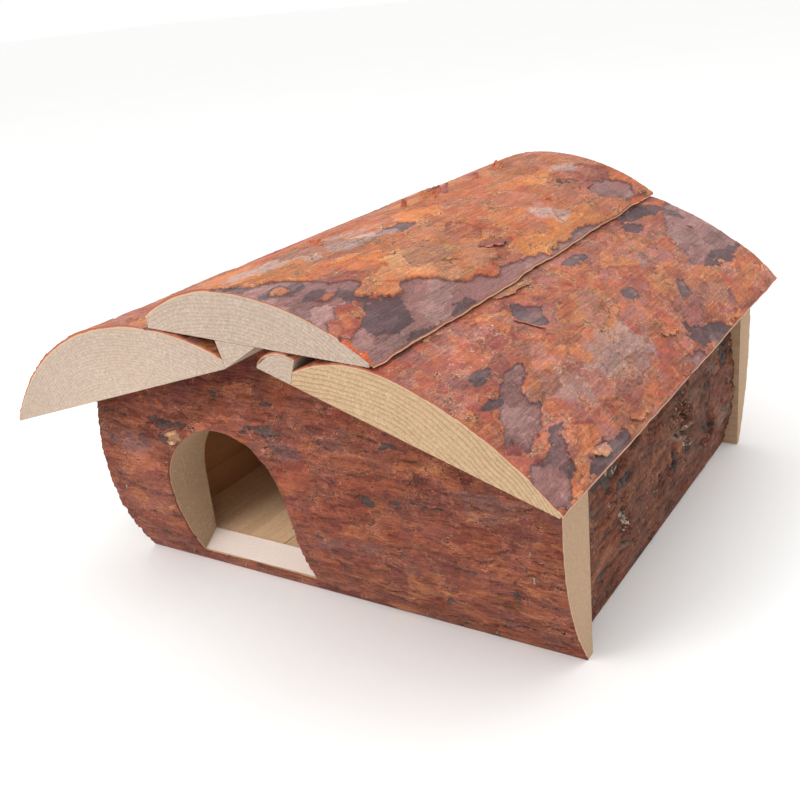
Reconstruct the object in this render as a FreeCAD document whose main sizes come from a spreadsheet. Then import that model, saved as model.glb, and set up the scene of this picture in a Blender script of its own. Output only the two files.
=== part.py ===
import FreeCAD, Part
import math
import os
import Sketcher
from FreeCAD import Placement, Rotation, Vector

# A hedgehog house stapled together from pine slabs, the outer cuts of a log with the bark left on.
# Every slab has one flat sawn face and one round bark face. The flat faces look into the house.
# Millimetres, Z up, the entrance looks to -Y, and the origin is on the ground in the middle of the room.

# Driving dimensions: name, value and what it measures
SIZES = (
    ("wall_length", 400, "front and back walls, end to end"),
    ("room_depth", 354, "between the flat faces of the front and back walls"),
    ("eaves_height", 153, "gable outline at the ends of the walls"),
    ("ridge_height", 216, "gable outline at its peak"),
    ("ridge_offset", 5, "peak, to the right of the middle"),
    ("side_wall_inset", 4, "bark of a side wall, inside the ends of the front wall"),
    ("front_overhang", 38, "roof in front of the front wall's bark"),
    ("back_overhang", 13, "roof behind the back wall's bark"),
    ("bark_thickness", 2.5, "bark on every slab"),
    ("fit_gap", 0.3, "room left beside a loose or wedged piece"),
    ("seat_gap", 0.1, "room left under the ridge cap where slabs and strips touch it"),
    ("front_wall_crown", 106, "height of the thickest line"),
    ("front_wall_thickness", 42, "at the thickest line, with bark"),
    ("front_wall_start_edge", 9, "thickness at the ground"),
    ("front_wall_end_edge", 6, "thickness at the peak"),
    ("back_wall_crown", 108, "height of the thickest line"),
    ("back_wall_thickness", 33, "at the thickest line, with bark"),
    ("back_wall_start_edge", 5, "thickness at the ground"),
    ("back_wall_end_edge", 5, "thickness at the peak"),
    ("left_wall_crown", 75, "height of the thickest line"),
    ("left_wall_thickness", 20, "at the thickest line, with bark"),
    ("left_wall_start_edge", 12, "thickness at the ground"),
    ("left_wall_end_edge", 9, "thickness at the top"),
    ("right_wall_crown", 62, "height of the thickest line"),
    ("right_wall_thickness", 32, "at the thickest line, with bark"),
    ("right_wall_start_edge", 22, "thickness at the ground"),
    ("right_wall_end_edge", 9, "thickness at the top"),
    ("roof_left_width", 237, "flat face, from the eave to the ridge"),
    ("roof_left_crown", 117, "thickest line, from the eave"),
    ("roof_left_thickness", 51.5, "at the thickest line, with bark"),
    ("roof_left_start_edge", 4, "thickness at the eave"),
    ("roof_left_end_edge", 8, "thickness at the ridge"),
    ("roof_left_overhang", 41, "eave beyond the end of the wall, level"),
    ("roof_right_width", 188, "flat face, from the ridge to the eave"),
    ("roof_right_crown", 64, "thickest line, from the ridge"),
    ("roof_right_thickness", 36, "at the thickest line, with bark"),
    ("roof_right_start_edge", 10.5, "thickness at the ridge"),
    ("roof_right_end_edge", 4.5, "thickness at the eave"),
    ("roof_right_overhang", 17, "eave beyond the end of the wall, level"),
    ("roof_cap_width", 178, "flat face, side to side"),
    ("roof_cap_crown", 73, "thickest line, from the left side"),
    ("roof_cap_thickness", 35, "at the thickest line, with bark"),
    ("roof_cap_start_edge", 10, "thickness at the left side"),
    ("roof_cap_end_edge", 5, "thickness at the right side"),
    ("roof_cap_shift", 2, "left side of the cap, to the right of the left slab's touching line"),
    ("ridge_strip_left_reach", 0.9, "top of the three-cornered strip, past the other strip's thin side"),
    ("ridge_strip_right_width", 27, "flat face of the strip beside the right roof slab"),
    ("ridge_strip_right_crown", 22, "thickest line of that strip, from its thin side"),
    ("ridge_strip_right_start_edge", 4, "thickness of that strip at its thin side, with bark"),
    ("ridge_strip_right_shoulder", 0.5, "fall from that strip's thickest line to its thick side"),
    ("entrance_offset", 73.5, "middle of the entrance, to the left of the middle"),
    ("entrance_width", 117, "jamb to jamb, and the diameter of the round top"),
    ("entrance_top", 139, "top of the arch above the ground"),
    ("sill_height", 26, "inner edge of the sill above the ground"),
    ("sill_fall", 35, "degrees that the sill falls outwards"),
    ("floor_thickness", 24, "sawn floor planks"),
    ("floor_joint", 1, "open joint between two planks"),
    ("staple_crown", 6, "outer width of a staple"),
    ("staple_wire", 1.2, "square wire of a staple"),
    ("staple_point", 2, "slant at the ends of a staple's legs"),
    ("staple_sink", 0.4, "top of a driven staple below the bark"),
    ("staple_room", 0.1, "between a staple and its slot"),
    ("long_staple_length", 63, "wall and roof staples"),
    ("short_staple_length", 38, "ridge cap and floor staples"),
    ("wall_staple_low", 74.5, "lower staple of a wall corner above the ground"),
    ("wall_staple_high", 97, "upper staple of a wall corner above the ground"),
    ("floor_staple_height", 9, "floor staples above the ground"),
    ("roof_left_staple_low", 96, "staple nearer the eave, from the eave"),
    ("roof_left_staple_high", 32, "staple under the cap, from the ridge"),
    ("roof_right_staple_low", 82, "staple nearer the eave, from the eave"),
    ("roof_right_staple_high", 18, "staple under the cap, from the ridge"),
    ("cap_staple_inset", 14, "cap staples, inwards from the lines where the cap rests"),
    ("cap_staple_end", 30, "first and last cap staple from the ends of the cap"),
)
FLOOR_PLANKS = 3
STAPLES_PER_PLANK_END = 2
CAP_STAPLES_PER_SIDE = 4
STAPLE_SHARE = 0.65   # how far a roof staple lies from a wall's flat face, as a share of its wood
TOOL_ALLOWANCE = 8.0   # cutting shapes run this far past what they cut

doc = FreeCAD.newDocument("hedgehog_house")
sheet = doc.addObject("Spreadsheet::Sheet", "Sizes")
for row, (alias, number, meaning) in enumerate(SIZES, start=1):
    sheet.set("A%d" % row, meaning)
    sheet.set("B%d" % row, str(number))
    sheet.setAlias("B%d" % row, alias)
doc.recompute()
derived = []


def size(alias):
    """A driving dimension, read from the sheet."""
    return float(sheet.get(alias))


def worked_out(expression):
    """The number that an expression on the sheet's cells gives."""
    return float(sheet.evalExpression(expression))


def derive(alias, number, meaning):
    """Adds a size that follows from the others to the sheet, below the driving dimensions."""
    derived.append(alias)
    row = len(SIZES) + len(derived)
    sheet.set("A%d" % row, meaning)
    sheet.set("B%d" % row, "%.6f" % number)
    sheet.setAlias("B%d" % row, alias)
    doc.recompute()


# Small helpers for bodies and sketches
def sketch_on(body, role, name):
    """A sketch on one of the body's own origin planes."""
    plane = next(feature for feature in body.Origin.OriginFeatures if feature.Role == role)
    sketch = body.newObject("Sketcher::SketchObject", name)
    sketch.AttachmentSupport = (plane, [""])
    sketch.MapMode = "FlatFace"
    return sketch


def join_chain(sketch, links):
    """Makes each (edge, its end, next edge, its end) pair of the outline meet."""
    for first, first_end, second, second_end in links:
        sketch.addConstraint(Sketcher.Constraint("Coincident", first, first_end, second, second_end))


def dimension(sketch, kind, places, name, expression):
    """A named dimension whose value follows an expression on the sheet."""
    value = worked_out(expression)
    index = sketch.addConstraint(Sketcher.Constraint(kind, *places, value))
    sketch.renameConstraint(index, name)
    sketch.setExpression("Constraints." + name, expression)


def pad(body, sketch, expression, name, side="One side"):
    """Pads a sketch by a length that follows the sheet."""
    feature = body.newObject("PartDesign::Pad", name)
    feature.Profile = sketch
    feature.SideType = side
    feature.setExpression("Length", expression)
    body.Tip = feature


def polygon(sketch, corners):
    """Straight edges through the corners, closed, each corner shared by two edges."""
    count = len(corners)
    points = [Vector(across, up, 0) for across, up in corners]
    for index in range(count):
        sketch.addGeometry(Part.LineSegment(points[index], points[(index + 1) % count]))
    join_chain(sketch, [(index, 2, (index + 1) % count, 1) for index in range(count)])


class Slab:
    """The section of a slab: a flat face, two low edges and a crown with an arc on each side of it.

    Across the slab, `start` is the edge at 0 and `end` is the edge at the full width. The two arcs meet
    at the crown, where both run parallel to the flat face.
    """

    def __init__(self, name, width, thickness=None):
        self.name = name
        self.width_text = width
        self.crown_text = "Sizes.%s_crown" % name
        self.thickness_text = thickness or "Sizes.%s_thickness" % name
        self.start_text = "Sizes.%s_start_edge" % name
        self.end_text = "Sizes.%s_end_edge" % name
        self.placement = Placement()

    @property
    def width(self):
        return worked_out(self.width_text)

    @property
    def crown(self):
        return worked_out(self.crown_text)

    @property
    def thickness(self):
        return worked_out(self.thickness_text)

    def arc_radius(self, side):
        """Radius of the arc from the crown to an edge: it falls by `drop` over the distance `run`."""
        run = self.crown if side == "start" else self.width - self.crown
        edge = worked_out(self.start_text if side == "start" else self.end_text)
        drop = self.thickness - edge
        return (run ** 2 + drop ** 2) / (2 * drop)

    def height(self, across):
        """Bark surface above the flat face, at a distance across the slab."""
        radius = self.arc_radius("start" if across < self.crown else "end")
        return self.thickness - radius + math.sqrt(radius ** 2 - (across - self.crown) ** 2)

    def arc_centre(self, side):
        """Centre of an arc in the part's frame, on the slab's middle section."""
        lift = self.thickness - self.arc_radius(side)
        return self.placement.multVec(Vector(0, self.crown, lift))


def slab_arcs(sketch, slab, lift_text, lift, tag):
    """Draws the two arcs of a slab's round side, lowered by `lift`, and returns their edge numbers."""
    ends = {}
    for side in ("end", "start"):
        radius = slab.arc_radius(side)
        centre = Vector(slab.crown, slab.thickness - lift - radius, 0)
        run = slab.width - slab.crown if side == "end" else slab.crown
        lean = math.asin(run / radius)
        span = (math.pi / 2 - lean, math.pi / 2) if side == "end" else (math.pi / 2, math.pi / 2 + lean)
        circle = Part.Circle(centre, Vector(0, 0, 1), radius)
        ends[side] = sketch.addGeometry(Part.ArcOfCircle(circle, *span))
    join_chain(sketch, [(ends["end"], 2, ends["start"], 1)])
    sketch.addConstraint(Sketcher.Constraint("Vertical", ends["end"], 3, ends["end"], 2))
    sketch.addConstraint(Sketcher.Constraint("Vertical", ends["start"], 3, ends["start"], 1))
    dimension(sketch, "DistanceX", (-1, 1, ends["end"], 2), tag + "_crown", slab.crown_text)
    crown_height = "%s - %s" % (slab.thickness_text, lift_text)
    dimension(sketch, "DistanceY", (-1, 1, ends["end"], 2), tag + "_thickness", crown_height)
    end_height = "%s - %s" % (slab.end_text, lift_text)
    dimension(sketch, "DistanceY", (-1, 1, ends["end"], 1), tag + "_end_edge", end_height)
    start_height = "%s - %s" % (slab.start_text, lift_text)
    dimension(sketch, "DistanceY", (-1, 1, ends["start"], 2), tag + "_start_edge", start_height)
    return ends["end"], ends["start"]


def wood_body(slab, length_text):
    """The wood of a slab: flat face on the local XY plane, grain along local X, round side up."""
    body = doc.addObject("PartDesign::Body", slab.name + "_wood")
    sketch = sketch_on(body, "YZ_Plane", slab.name + "_wood_section")
    bark = size("bark_thickness")
    end_arc, start_arc = slab_arcs(sketch, slab, "Sizes.bark_thickness", bark, "wood")
    flat = sketch.addGeometry(Part.LineSegment(Vector(0, 0, 0), Vector(slab.width, 0, 0)))
    end_top = Vector(slab.width, worked_out(slab.end_text) - bark, 0)
    end_edge = sketch.addGeometry(Part.LineSegment(Vector(slab.width, 0, 0), end_top))
    start_top = Vector(0, worked_out(slab.start_text) - bark, 0)
    start_edge = sketch.addGeometry(Part.LineSegment(start_top, Vector(0, 0, 0)))
    join_chain(sketch, [(flat, 1, -1, 1), (flat, 2, end_edge, 1), (end_edge, 2, end_arc, 1),
                        (start_arc, 2, start_edge, 1), (start_edge, 2, flat, 1)])
    sketch.addConstraint(Sketcher.Constraint("Horizontal", flat))
    sketch.addConstraint(Sketcher.Constraint("Vertical", end_edge))
    sketch.addConstraint(Sketcher.Constraint("Vertical", start_edge))
    dimension(sketch, "DistanceX", (flat, 1, flat, 2), "width", slab.width_text)
    pad(body, sketch, length_text, slab.name + "_wood_length", "Symmetric")
    body.Placement = slab.placement
    return body


def bark_body(slab, length_text):
    """The bark of a slab: a layer of even depth on the round side of the wood."""
    body = doc.addObject("PartDesign::Body", slab.name + "_bark_layer")
    sketch = sketch_on(body, "YZ_Plane", slab.name + "_bark_section")
    bark = size("bark_thickness")
    outer_end, outer_start = slab_arcs(sketch, slab, "0", 0, "outer")
    inner_end, inner_start = slab_arcs(sketch, slab, "Sizes.bark_thickness", bark, "inner")
    edges = []
    for across, text in ((slab.width, slab.end_text), (0, slab.start_text)):
        inner = Vector(across, worked_out(text) - bark, 0)
        outer = Vector(across, worked_out(text), 0)
        edges.append(sketch.addGeometry(Part.LineSegment(inner, outer)))
        sketch.addConstraint(Sketcher.Constraint("Vertical", edges[-1]))
    join_chain(sketch, [(edges[0], 1, inner_end, 1), (edges[0], 2, outer_end, 1),
                        (edges[1], 1, inner_start, 2), (edges[1], 2, outer_start, 2)])
    sketch.addConstraint(Sketcher.Constraint("PointOnObject", edges[1], 2, -2))
    dimension(sketch, "DistanceX", (-1, 1, edges[0], 2), "width", slab.width_text)
    pad(body, sketch, length_text, slab.name + "_bark_length", "Symmetric")
    body.Placement = slab.placement
    return body


def boolean(kind, name, base, tool):
    """A Part boolean of two document objects."""
    feature = doc.addObject("Part::" + kind, name)
    feature.Base = base
    feature.Tool = tool
    return feature


# Where the slabs stand and lie
LEFT_RUN = "(Sizes.wall_length / 2 + Sizes.ridge_offset)"
RIGHT_RUN = "(Sizes.wall_length / 2 - Sizes.ridge_offset)"
GABLE_RISE = "(Sizes.ridge_height - Sizes.eaves_height)"
half_length = size("wall_length") / 2
half_depth = size("room_depth") / 2
left_pitch = math.degrees(math.atan(worked_out(GABLE_RISE + " / " + LEFT_RUN)))
right_pitch = math.degrees(math.atan(worked_out(GABLE_RISE + " / " + RIGHT_RUN)))


def side_wall_height(name, run_text):
    """A side wall reaches up to the roof at its flat face."""
    reach = "(Sizes.side_wall_inset + Sizes.%s_thickness)" % name
    return "Sizes.eaves_height + %s / %s * %s" % (GABLE_RISE, run_text, reach)


front_wall = Slab("front_wall", "Sizes.ridge_height")
back_wall = Slab("back_wall", "Sizes.ridge_height")
left_wall = Slab("left_wall", side_wall_height("left_wall", LEFT_RUN))
right_wall = Slab("right_wall", side_wall_height("right_wall", RIGHT_RUN))

# A wall slab stands on its start edge. The turn about Z sends its bark outwards.
UPRIGHT = Rotation(Vector(1, 0, 0), 90)
left_face = -half_length + size("side_wall_inset") + left_wall.thickness
right_face = half_length - size("side_wall_inset") - right_wall.thickness
for slab, place, turn in ((front_wall, (0, -half_depth, 0), 0), (back_wall, (0, half_depth, 0), 180),
                          (left_wall, (left_face, 0, 0), -90), (right_wall, (right_face, 0, 0), 90)):
    slab.placement = Placement(Vector(*place), Rotation(Vector(0, 0, 1), turn) * UPRIGHT)

# A roof slab's grain runs from the back to the front, and its width down or up the slope
WALLS_TEXT = "Sizes.front_wall_thickness + Sizes.back_wall_thickness"
ROOF_LENGTH = "Sizes.room_depth + Sizes.front_overhang + Sizes.back_overhang + " + WALLS_TEXT
roof_front = -half_depth - front_wall.thickness - size("front_overhang")
roof_length = worked_out(ROOF_LENGTH)
roof_middle = roof_front + roof_length / 2
GRAIN_TO_FRONT = Rotation(Vector(0, 0, 1), -90)


def lie_on_slope(slab, corner, fall):
    """Lays a slab with its start edge at a corner of the XZ section, falling to the right."""
    tilt = Rotation(Vector(0, 1, 0), fall)
    slab.placement = Placement(Vector(corner[0], roof_middle, corner[1]), tilt * GRAIN_TO_FRONT)


roof_left = Slab("roof_left", "Sizes.roof_left_width")
left_eave = -half_length - size("roof_left_overhang")
left_slope = math.tan(math.radians(left_pitch))
left_eave_height = size("eaves_height") - size("roof_left_overhang") * left_slope
lie_on_slope(roof_left, (left_eave, left_eave_height), -left_pitch)

roof_right = Slab("roof_right", "Sizes.roof_right_width")
right_slope = math.tan(math.radians(right_pitch))
right_eave = half_length + size("roof_right_overhang")
right_ridge = right_eave - roof_right.width * math.cos(math.radians(right_pitch))
right_ridge_height = size("eaves_height") + (half_length - right_ridge) * right_slope
lie_on_slope(roof_right, (right_ridge, right_ridge_height), right_pitch)

# The cap lies on the line that touches the round tops of both roof slabs
left_centre = roof_left.arc_centre("end")
right_centre = roof_right.arc_centre("start")
left_radius = roof_left.arc_radius("end")
right_radius = roof_right.arc_radius("start")
between = right_centre - left_centre
turn = math.acos((left_radius - right_radius) / between.Length)
normal_angle = math.atan2(between.z, between.x) + turn
normal = Vector(math.cos(normal_angle), 0, math.sin(normal_angle))
along = Vector(normal.z, 0, -normal.x)
left_rest = left_centre + normal * (left_radius + size("seat_gap"))
right_rest = right_centre + normal * (right_radius + size("seat_gap"))
cap_fall = 90 - math.degrees(normal_angle)
cap_corner = left_rest + along * size("roof_cap_shift")
roof_cap = Slab("roof_cap", "Sizes.roof_cap_width")
lie_on_slope(roof_cap, (cap_corner.x, cap_corner.z), cap_fall)


def cap_underside(x):
    """Height of the cap's flat face at a distance from the middle of the house."""
    return cap_corner.z - (x - cap_corner.x) * math.tan(math.radians(cap_fall))


# The saw line that every wall shares: upright sides and the two slopes under the roof
gable = doc.addObject("PartDesign::Body", "gable_outline")
gable_sketch = sketch_on(gable, "XZ_Plane", "gable_outline_section")
peak = size("ridge_offset")
polygon(gable_sketch, [(-half_length, 0), (half_length, 0), (half_length, size("eaves_height")),
                       (peak, size("ridge_height")), (-half_length, size("eaves_height"))])
for edge in (1, 4):
    gable_sketch.addConstraint(Sketcher.Constraint("Vertical", edge))
gable_sketch.addConstraint(Sketcher.Constraint("PointOnObject", 0, 1, -1))
gable_sketch.addConstraint(Sketcher.Constraint("PointOnObject", 0, 2, -1))
dimension(gable_sketch, "DistanceX", (0, 1, 0, 2), "length", "Sizes.wall_length")
dimension(gable_sketch, "DistanceX", (-1, 1, 0, 2), "half_length", "Sizes.wall_length / 2")
dimension(gable_sketch, "DistanceY", (0, 2, 1, 2), "eaves", "Sizes.eaves_height")
dimension(gable_sketch, "DistanceY", (4, 2, 4, 1), "left_eaves", "Sizes.eaves_height")
dimension(gable_sketch, "DistanceX", (-1, 1, 2, 2), "peak", "Sizes.ridge_offset")
dimension(gable_sketch, "DistanceY", (-1, 1, 2, 2), "ridge", "Sizes.ridge_height")
GABLE_DEPTH = "Sizes.room_depth + 2 * (%s) + %s" % (WALLS_TEXT, TOOL_ALLOWANCE)
pad(gable, gable_sketch, GABLE_DEPTH, "gable_outline_depth", "Symmetric")

# The entrance: a round-topped hole whose sill falls outwards from the room
entrance = doc.addObject("PartDesign::Body", "entrance_cut")
arch = sketch_on(entrance, "XZ_Plane", "entrance_arch")
half_width = size("entrance_width") / 2
spring_line = size("entrance_top") - half_width
sill = size("sill_height")
top_circle = Part.Circle(Vector(0, spring_line, 0), Vector(0, 0, 1), half_width)
arch.addGeometry(Part.LineSegment(Vector(-half_width, sill, 0), Vector(half_width, sill, 0)))
arch.addGeometry(Part.LineSegment(Vector(half_width, sill, 0), Vector(half_width, spring_line, 0)))
arch.addGeometry(Part.ArcOfCircle(top_circle, 0, math.pi))
arch.addGeometry(Part.LineSegment(Vector(-half_width, spring_line, 0), Vector(-half_width, sill, 0)))
join_chain(arch, [(0, 2, 1, 1), (3, 2, 0, 1)])
for edge, edge_end, arc_end in ((1, 2, 1), (3, 1, 2)):
    arch.addConstraint(Sketcher.Constraint("Tangent", edge, edge_end, 2, arc_end))
    arch.addConstraint(Sketcher.Constraint("Vertical", edge))
arch.addConstraint(Sketcher.Constraint("PointOnObject", 2, 3, -2))
arch.addConstraint(Sketcher.Constraint("Horizontal", 0))
dimension(arch, "Radius", (2,), "arch_radius", "Sizes.entrance_width / 2")
dimension(arch, "DistanceY", (-1, 1, 2, 3), "spring_line", "Sizes.entrance_top - Sizes.entrance_width / 2")
dimension(arch, "DistanceY", (-1, 1, 0, 1), "sill", "Sizes.sill_height")
CUT_DEPTH = "(Sizes.front_wall_thickness + %s)" % TOOL_ALLOWANCE
pad(entrance, arch, CUT_DEPTH, "entrance_depth")
sill_sketch = sketch_on(entrance, "YZ_Plane", "entrance_sill")
cut_depth = worked_out(CUT_DEPTH)
sill_drop = cut_depth * math.tan(math.radians(size("sill_fall")))
polygon(sill_sketch, [(0, sill), (-cut_depth, sill), (-cut_depth, sill - sill_drop)])
sill_sketch.addConstraint(Sketcher.Constraint("PointOnObject", 0, 1, -2))
sill_sketch.addConstraint(Sketcher.Constraint("Horizontal", 0))
sill_sketch.addConstraint(Sketcher.Constraint("Vertical", 1))
dimension(sill_sketch, "DistanceX", (0, 2, 0, 1), "depth", CUT_DEPTH)
dimension(sill_sketch, "DistanceY", (-1, 1, 0, 1), "sill", "Sizes.sill_height")
dimension(sill_sketch, "DistanceY", (1, 2, 1, 1), "drop", CUT_DEPTH + " * tan(Sizes.sill_fall * 1 deg)")
pad(entrance, sill_sketch, "Sizes.entrance_width", "entrance_sill_width", "Symmetric")
entrance.Placement = Placement(Vector(-size("entrance_offset"), -half_depth, 0), Rotation())

# Walls and roof slabs, wood and bark apart, before they are stapled
blanks = {}
for slab in (front_wall, back_wall, left_wall, right_wall):
    length_text = "Sizes.wall_length" if slab in (front_wall, back_wall) else "Sizes.room_depth"
    for node, body in ((slab.name, wood_body(slab, length_text)),
                       (slab.name + "_bark", bark_body(slab, length_text))):
        sawn = boolean("Common", node + "_sawn", body, gable)
        blanks[node] = boolean("Cut", node + "_door", sawn, entrance) if slab is front_wall else sawn
for slab in (roof_left, roof_right, roof_cap):
    blanks[slab.name + "_slab"] = wood_body(slab, ROOF_LENGTH)
    blanks[slab.name + "_bark"] = bark_body(slab, ROOF_LENGTH)

# Two strips close the open ridge under the cap. The right one is a narrow slab that lies on the gable
# against the right roof slab. Its thickness follows from its round side, which just clears the cap:
# the arc falls by q over the run from the crown to the thin side, so its radius is (run^2 + q^2) / 2q,
# and the cap lies at that radius and the gap from the arc's centre.
fit = size("fit_gap")
strip_start = -size("ridge_strip_right_width") - fit
strip_run = size("ridge_strip_right_crown")
strip_corner = roof_right.placement.multVec(Vector(0, strip_start, 0))
strip_crown = roof_right.placement.multVec(Vector(0, strip_start + strip_run, 0))
cap_lean = math.cos(math.radians(right_pitch - cap_fall))
cap_above = (cap_underside(strip_crown.x) - strip_crown.z) * math.cos(math.radians(cap_fall)) / cap_lean
thin_side = size("ridge_strip_right_start_edge")
spread = 1 / cap_lean - 1
free_height = cap_above - thin_side - size("seat_gap") / cap_lean
q = (free_height + math.sqrt(free_height ** 2 - (2 + spread) * spread * strip_run ** 2)) / (2 + spread)
derive("ridge_strip_right_thickness", thin_side + q, "at that strip's thickest line, with bark")
strip_right = Slab("ridge_strip_right", "Sizes.ridge_strip_right_width")
strip_right.end_text = strip_right.thickness_text + " - Sizes.ridge_strip_right_shoulder"
lie_on_slope(strip_right, (strip_corner.x, strip_corner.z), right_pitch)

# The left strip is three-cornered: its tip stands in the corner between the left roof slab and the
# gable, and its top lies under the cap and reaches over the right strip's thin side
tip = roof_left.placement.multVec(Vector(0, roof_left.width + fit, fit))
cap_turn = math.radians(cap_fall)
strip_depth = (cap_underside(tip.x) - tip.z) * math.cos(cap_turn) - fit
strip_lean = strip_depth * math.tan(math.radians(left_pitch + cap_fall))
strip_right_edge = strip_corner.x + size("ridge_strip_left_reach")
strip_reach = (strip_right_edge - tip.x - strip_depth * math.sin(cap_turn)) / math.cos(cap_turn)
derive("ridge_strip_left_depth", strip_depth, "tip of the three-cornered strip to its top")
derive("ridge_strip_left_lean", strip_lean, "left corner of its top, to the left of the tip")
derive("ridge_strip_left_width", strip_lean + strip_reach, "top of the three-cornered strip")
strip_left = doc.addObject("PartDesign::Body", "ridge_strip_left_body")
strip_sketch = sketch_on(strip_left, "YZ_Plane", "ridge_strip_left_section")
polygon(strip_sketch, [(0, 0), (strip_reach, strip_depth), (-strip_lean, strip_depth)])
join_chain(strip_sketch, [(0, 1, -1, 1)])
strip_sketch.addConstraint(Sketcher.Constraint("Horizontal", 1))
dimension(strip_sketch, "DistanceX", (1, 2, 1, 1), "width", "Sizes.ridge_strip_left_width")
dimension(strip_sketch, "DistanceY", (-1, 1, 1, 1), "depth", "Sizes.ridge_strip_left_depth")
dimension(strip_sketch, "DistanceX", (1, 2, -1, 1), "lean", "Sizes.ridge_strip_left_lean")
pad(strip_left, strip_sketch, ROOF_LENGTH, "ridge_strip_left_length", "Symmetric")
strip_left.Placement = Placement(Vector(tip.x, roof_middle, tip.z), roof_cap.placement.Rotation)
blanks["ridge_strip_left"] = strip_left
blanks["ridge_strip_right"] = wood_body(strip_right, ROOF_LENGTH)
blanks["ridge_strip_right_bark"] = bark_body(strip_right, ROOF_LENGTH)

# The floor: planks laid from front to back between the side walls
ROOM_WIDTH = ("(Sizes.wall_length - 2 * Sizes.side_wall_inset"
              " - Sizes.left_wall_thickness - Sizes.right_wall_thickness)")
PLANK_WIDTH = "(%s - 2 * Sizes.fit_gap - %d * Sizes.floor_joint) / %d" % (
    ROOM_WIDTH, FLOOR_PLANKS - 1, FLOOR_PLANKS)
plank_width = worked_out(PLANK_WIDTH)
plank_step = plank_width + size("floor_joint")
plank_lefts = [left_face + fit + index * plank_step for index in range(FLOOR_PLANKS)]
for index, plank_left in enumerate(plank_lefts, start=1):
    plank = doc.addObject("Part::Box", "floor_plank_%d_board" % index)
    plank.setExpression("Length", PLANK_WIDTH)
    plank.setExpression("Width", "Sizes.room_depth - 2 * Sizes.fit_gap")
    plank.setExpression("Height", "Sizes.floor_thickness")
    plank.Placement = Placement(Vector(plank_left, -half_depth + fit, 0), Rotation())
    blanks["floor_plank_%d" % index] = plank


# Staples and the slots that they are driven into
LEG = "(Sizes.staple_crown / 2 - Sizes.staple_wire)"
HALF_CROWN = "(Sizes.staple_crown / 2)"
ROOM = "Sizes.staple_room"


def bent_wire(name, outline, wire_text):
    """A flat bent shape in the local YZ plane, padded to the wire's thickness. Corners are expressions."""
    body = doc.addObject("PartDesign::Body", name)
    sketch = sketch_on(body, "YZ_Plane", name + "_outline")
    polygon(sketch, [(worked_out(across), worked_out(up)) for across, up in outline])
    for corner, (across, up) in enumerate(outline):
        dimension(sketch, "DistanceX", (-1, 1, corner, 1), "across_%d" % corner, across)
        if up == "0":
            sketch.addConstraint(Sketcher.Constraint("PointOnObject", corner, 1, -1))
        else:
            dimension(sketch, "DistanceY", (-1, 1, corner, 1), "up_%d" % corner, up)
    pad(body, sketch, wire_text, name + "_wire", "Symmetric")
    return body


def staple_body(name, length_text):
    """A staple: the top of its crown at 0, its two legs down, their ends slanted to the outside."""
    shoulder = "-(%s - Sizes.staple_point)" % length_text
    tip = "-" + length_text
    return bent_wire(name, [
        ("-" + HALF_CROWN, tip), ("-" + HALF_CROWN, "0"), (HALF_CROWN, "0"), (HALF_CROWN, tip),
        (LEG, shoulder), (LEG, "-Sizes.staple_wire"),
        ("-" + LEG, "-Sizes.staple_wire"), ("-" + LEG, shoulder)], "Sizes.staple_wire")


def slot_body(name, length_text):
    """The room that a staple takes up in the wood and bark, open above its crown."""
    outer = "(%s + %s)" % (HALF_CROWN, ROOM)
    inner = "(%s - %s)" % (LEG, ROOM)
    bottom = "-(%s + %s)" % (length_text, ROOM)
    under_crown = "-(Sizes.staple_wire + %s)" % ROOM
    top = str(TOOL_ALLOWANCE)
    return bent_wire(name, [
        ("-" + outer, bottom), ("-" + outer, top), (outer, top), (outer, bottom),
        (inner, bottom), (inner, under_crown), ("-" + inner, under_crown), ("-" + inner, bottom)],
        "Sizes.staple_wire + 2 * " + ROOM)


staples = {}
slots = {}
for kind in ("long", "short"):
    staples[kind] = staple_body(kind + "_staple", "Sizes.%s_staple_length" % kind)
    slots[kind] = slot_body(kind + "_staple_slot", "Sizes.%s_staple_length" % kind)


def staple_in(slab, grain, across):
    """Placement of a staple driven square through a slab, its crown across the grain, just in the bark."""
    seat = slab.height(across) - size("staple_sink")
    return slab.placement * Placement(Vector(grain, across, seat), Rotation())


def wood_depth(wall, height):
    """Wood between a wall's flat face and its bark at a height above the ground."""
    return wall.height(height) - size("bark_thickness")


def corner_staples(wall, outward):
    """Two staples at each end of a wall, into the middle of the side wall that meets it there."""
    places = []
    for side_wall, face, way in ((left_wall, left_face, -1), (right_wall, right_face, 1)):
        for height in (size("wall_staple_low"), size("wall_staple_high")):
            middle = face + way * wood_depth(side_wall, height) / 2
            places.append(staple_in(wall, middle * outward, height))
    return places


def floor_staples(wall, outward):
    """Staples through the foot of a wall into the ends of the planks."""
    steps = [(number + 0.5) / STAPLES_PER_PLANK_END for number in range(STAPLES_PER_PLANK_END)]
    return [staple_in(wall, (plank_left + plank_width * step) * outward, size("floor_staple_height"))
            for plank_left in plank_lefts for step in steps]


def roof_staples(slab, distances):
    """Staples through a roof slab into the tops of the front and back walls."""
    places = []
    for across in distances:
        wall_top = slab.placement.multVec(Vector(0, across, 0)).z
        for wall, way in ((front_wall, -1), (back_wall, 1)):
            depth = way * (half_depth + STAPLE_SHARE * wood_depth(wall, wall_top))
            places.append(staple_in(slab, roof_middle - depth, across))
    return places


def cap_staples():
    """Two rows of staples through the cap, one into each roof slab."""
    rest_width = (right_rest - left_rest).Length - size("roof_cap_shift")
    span = roof_length - 2 * size("cap_staple_end")
    grains = [span * (number / (CAP_STAPLES_PER_SIDE - 1) - 0.5) for number in range(CAP_STAPLES_PER_SIDE)]
    rows = (size("cap_staple_inset"), rest_width - size("cap_staple_inset"))
    return [staple_in(roof_cap, grain, across) for across in rows for grain in grains]


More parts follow.
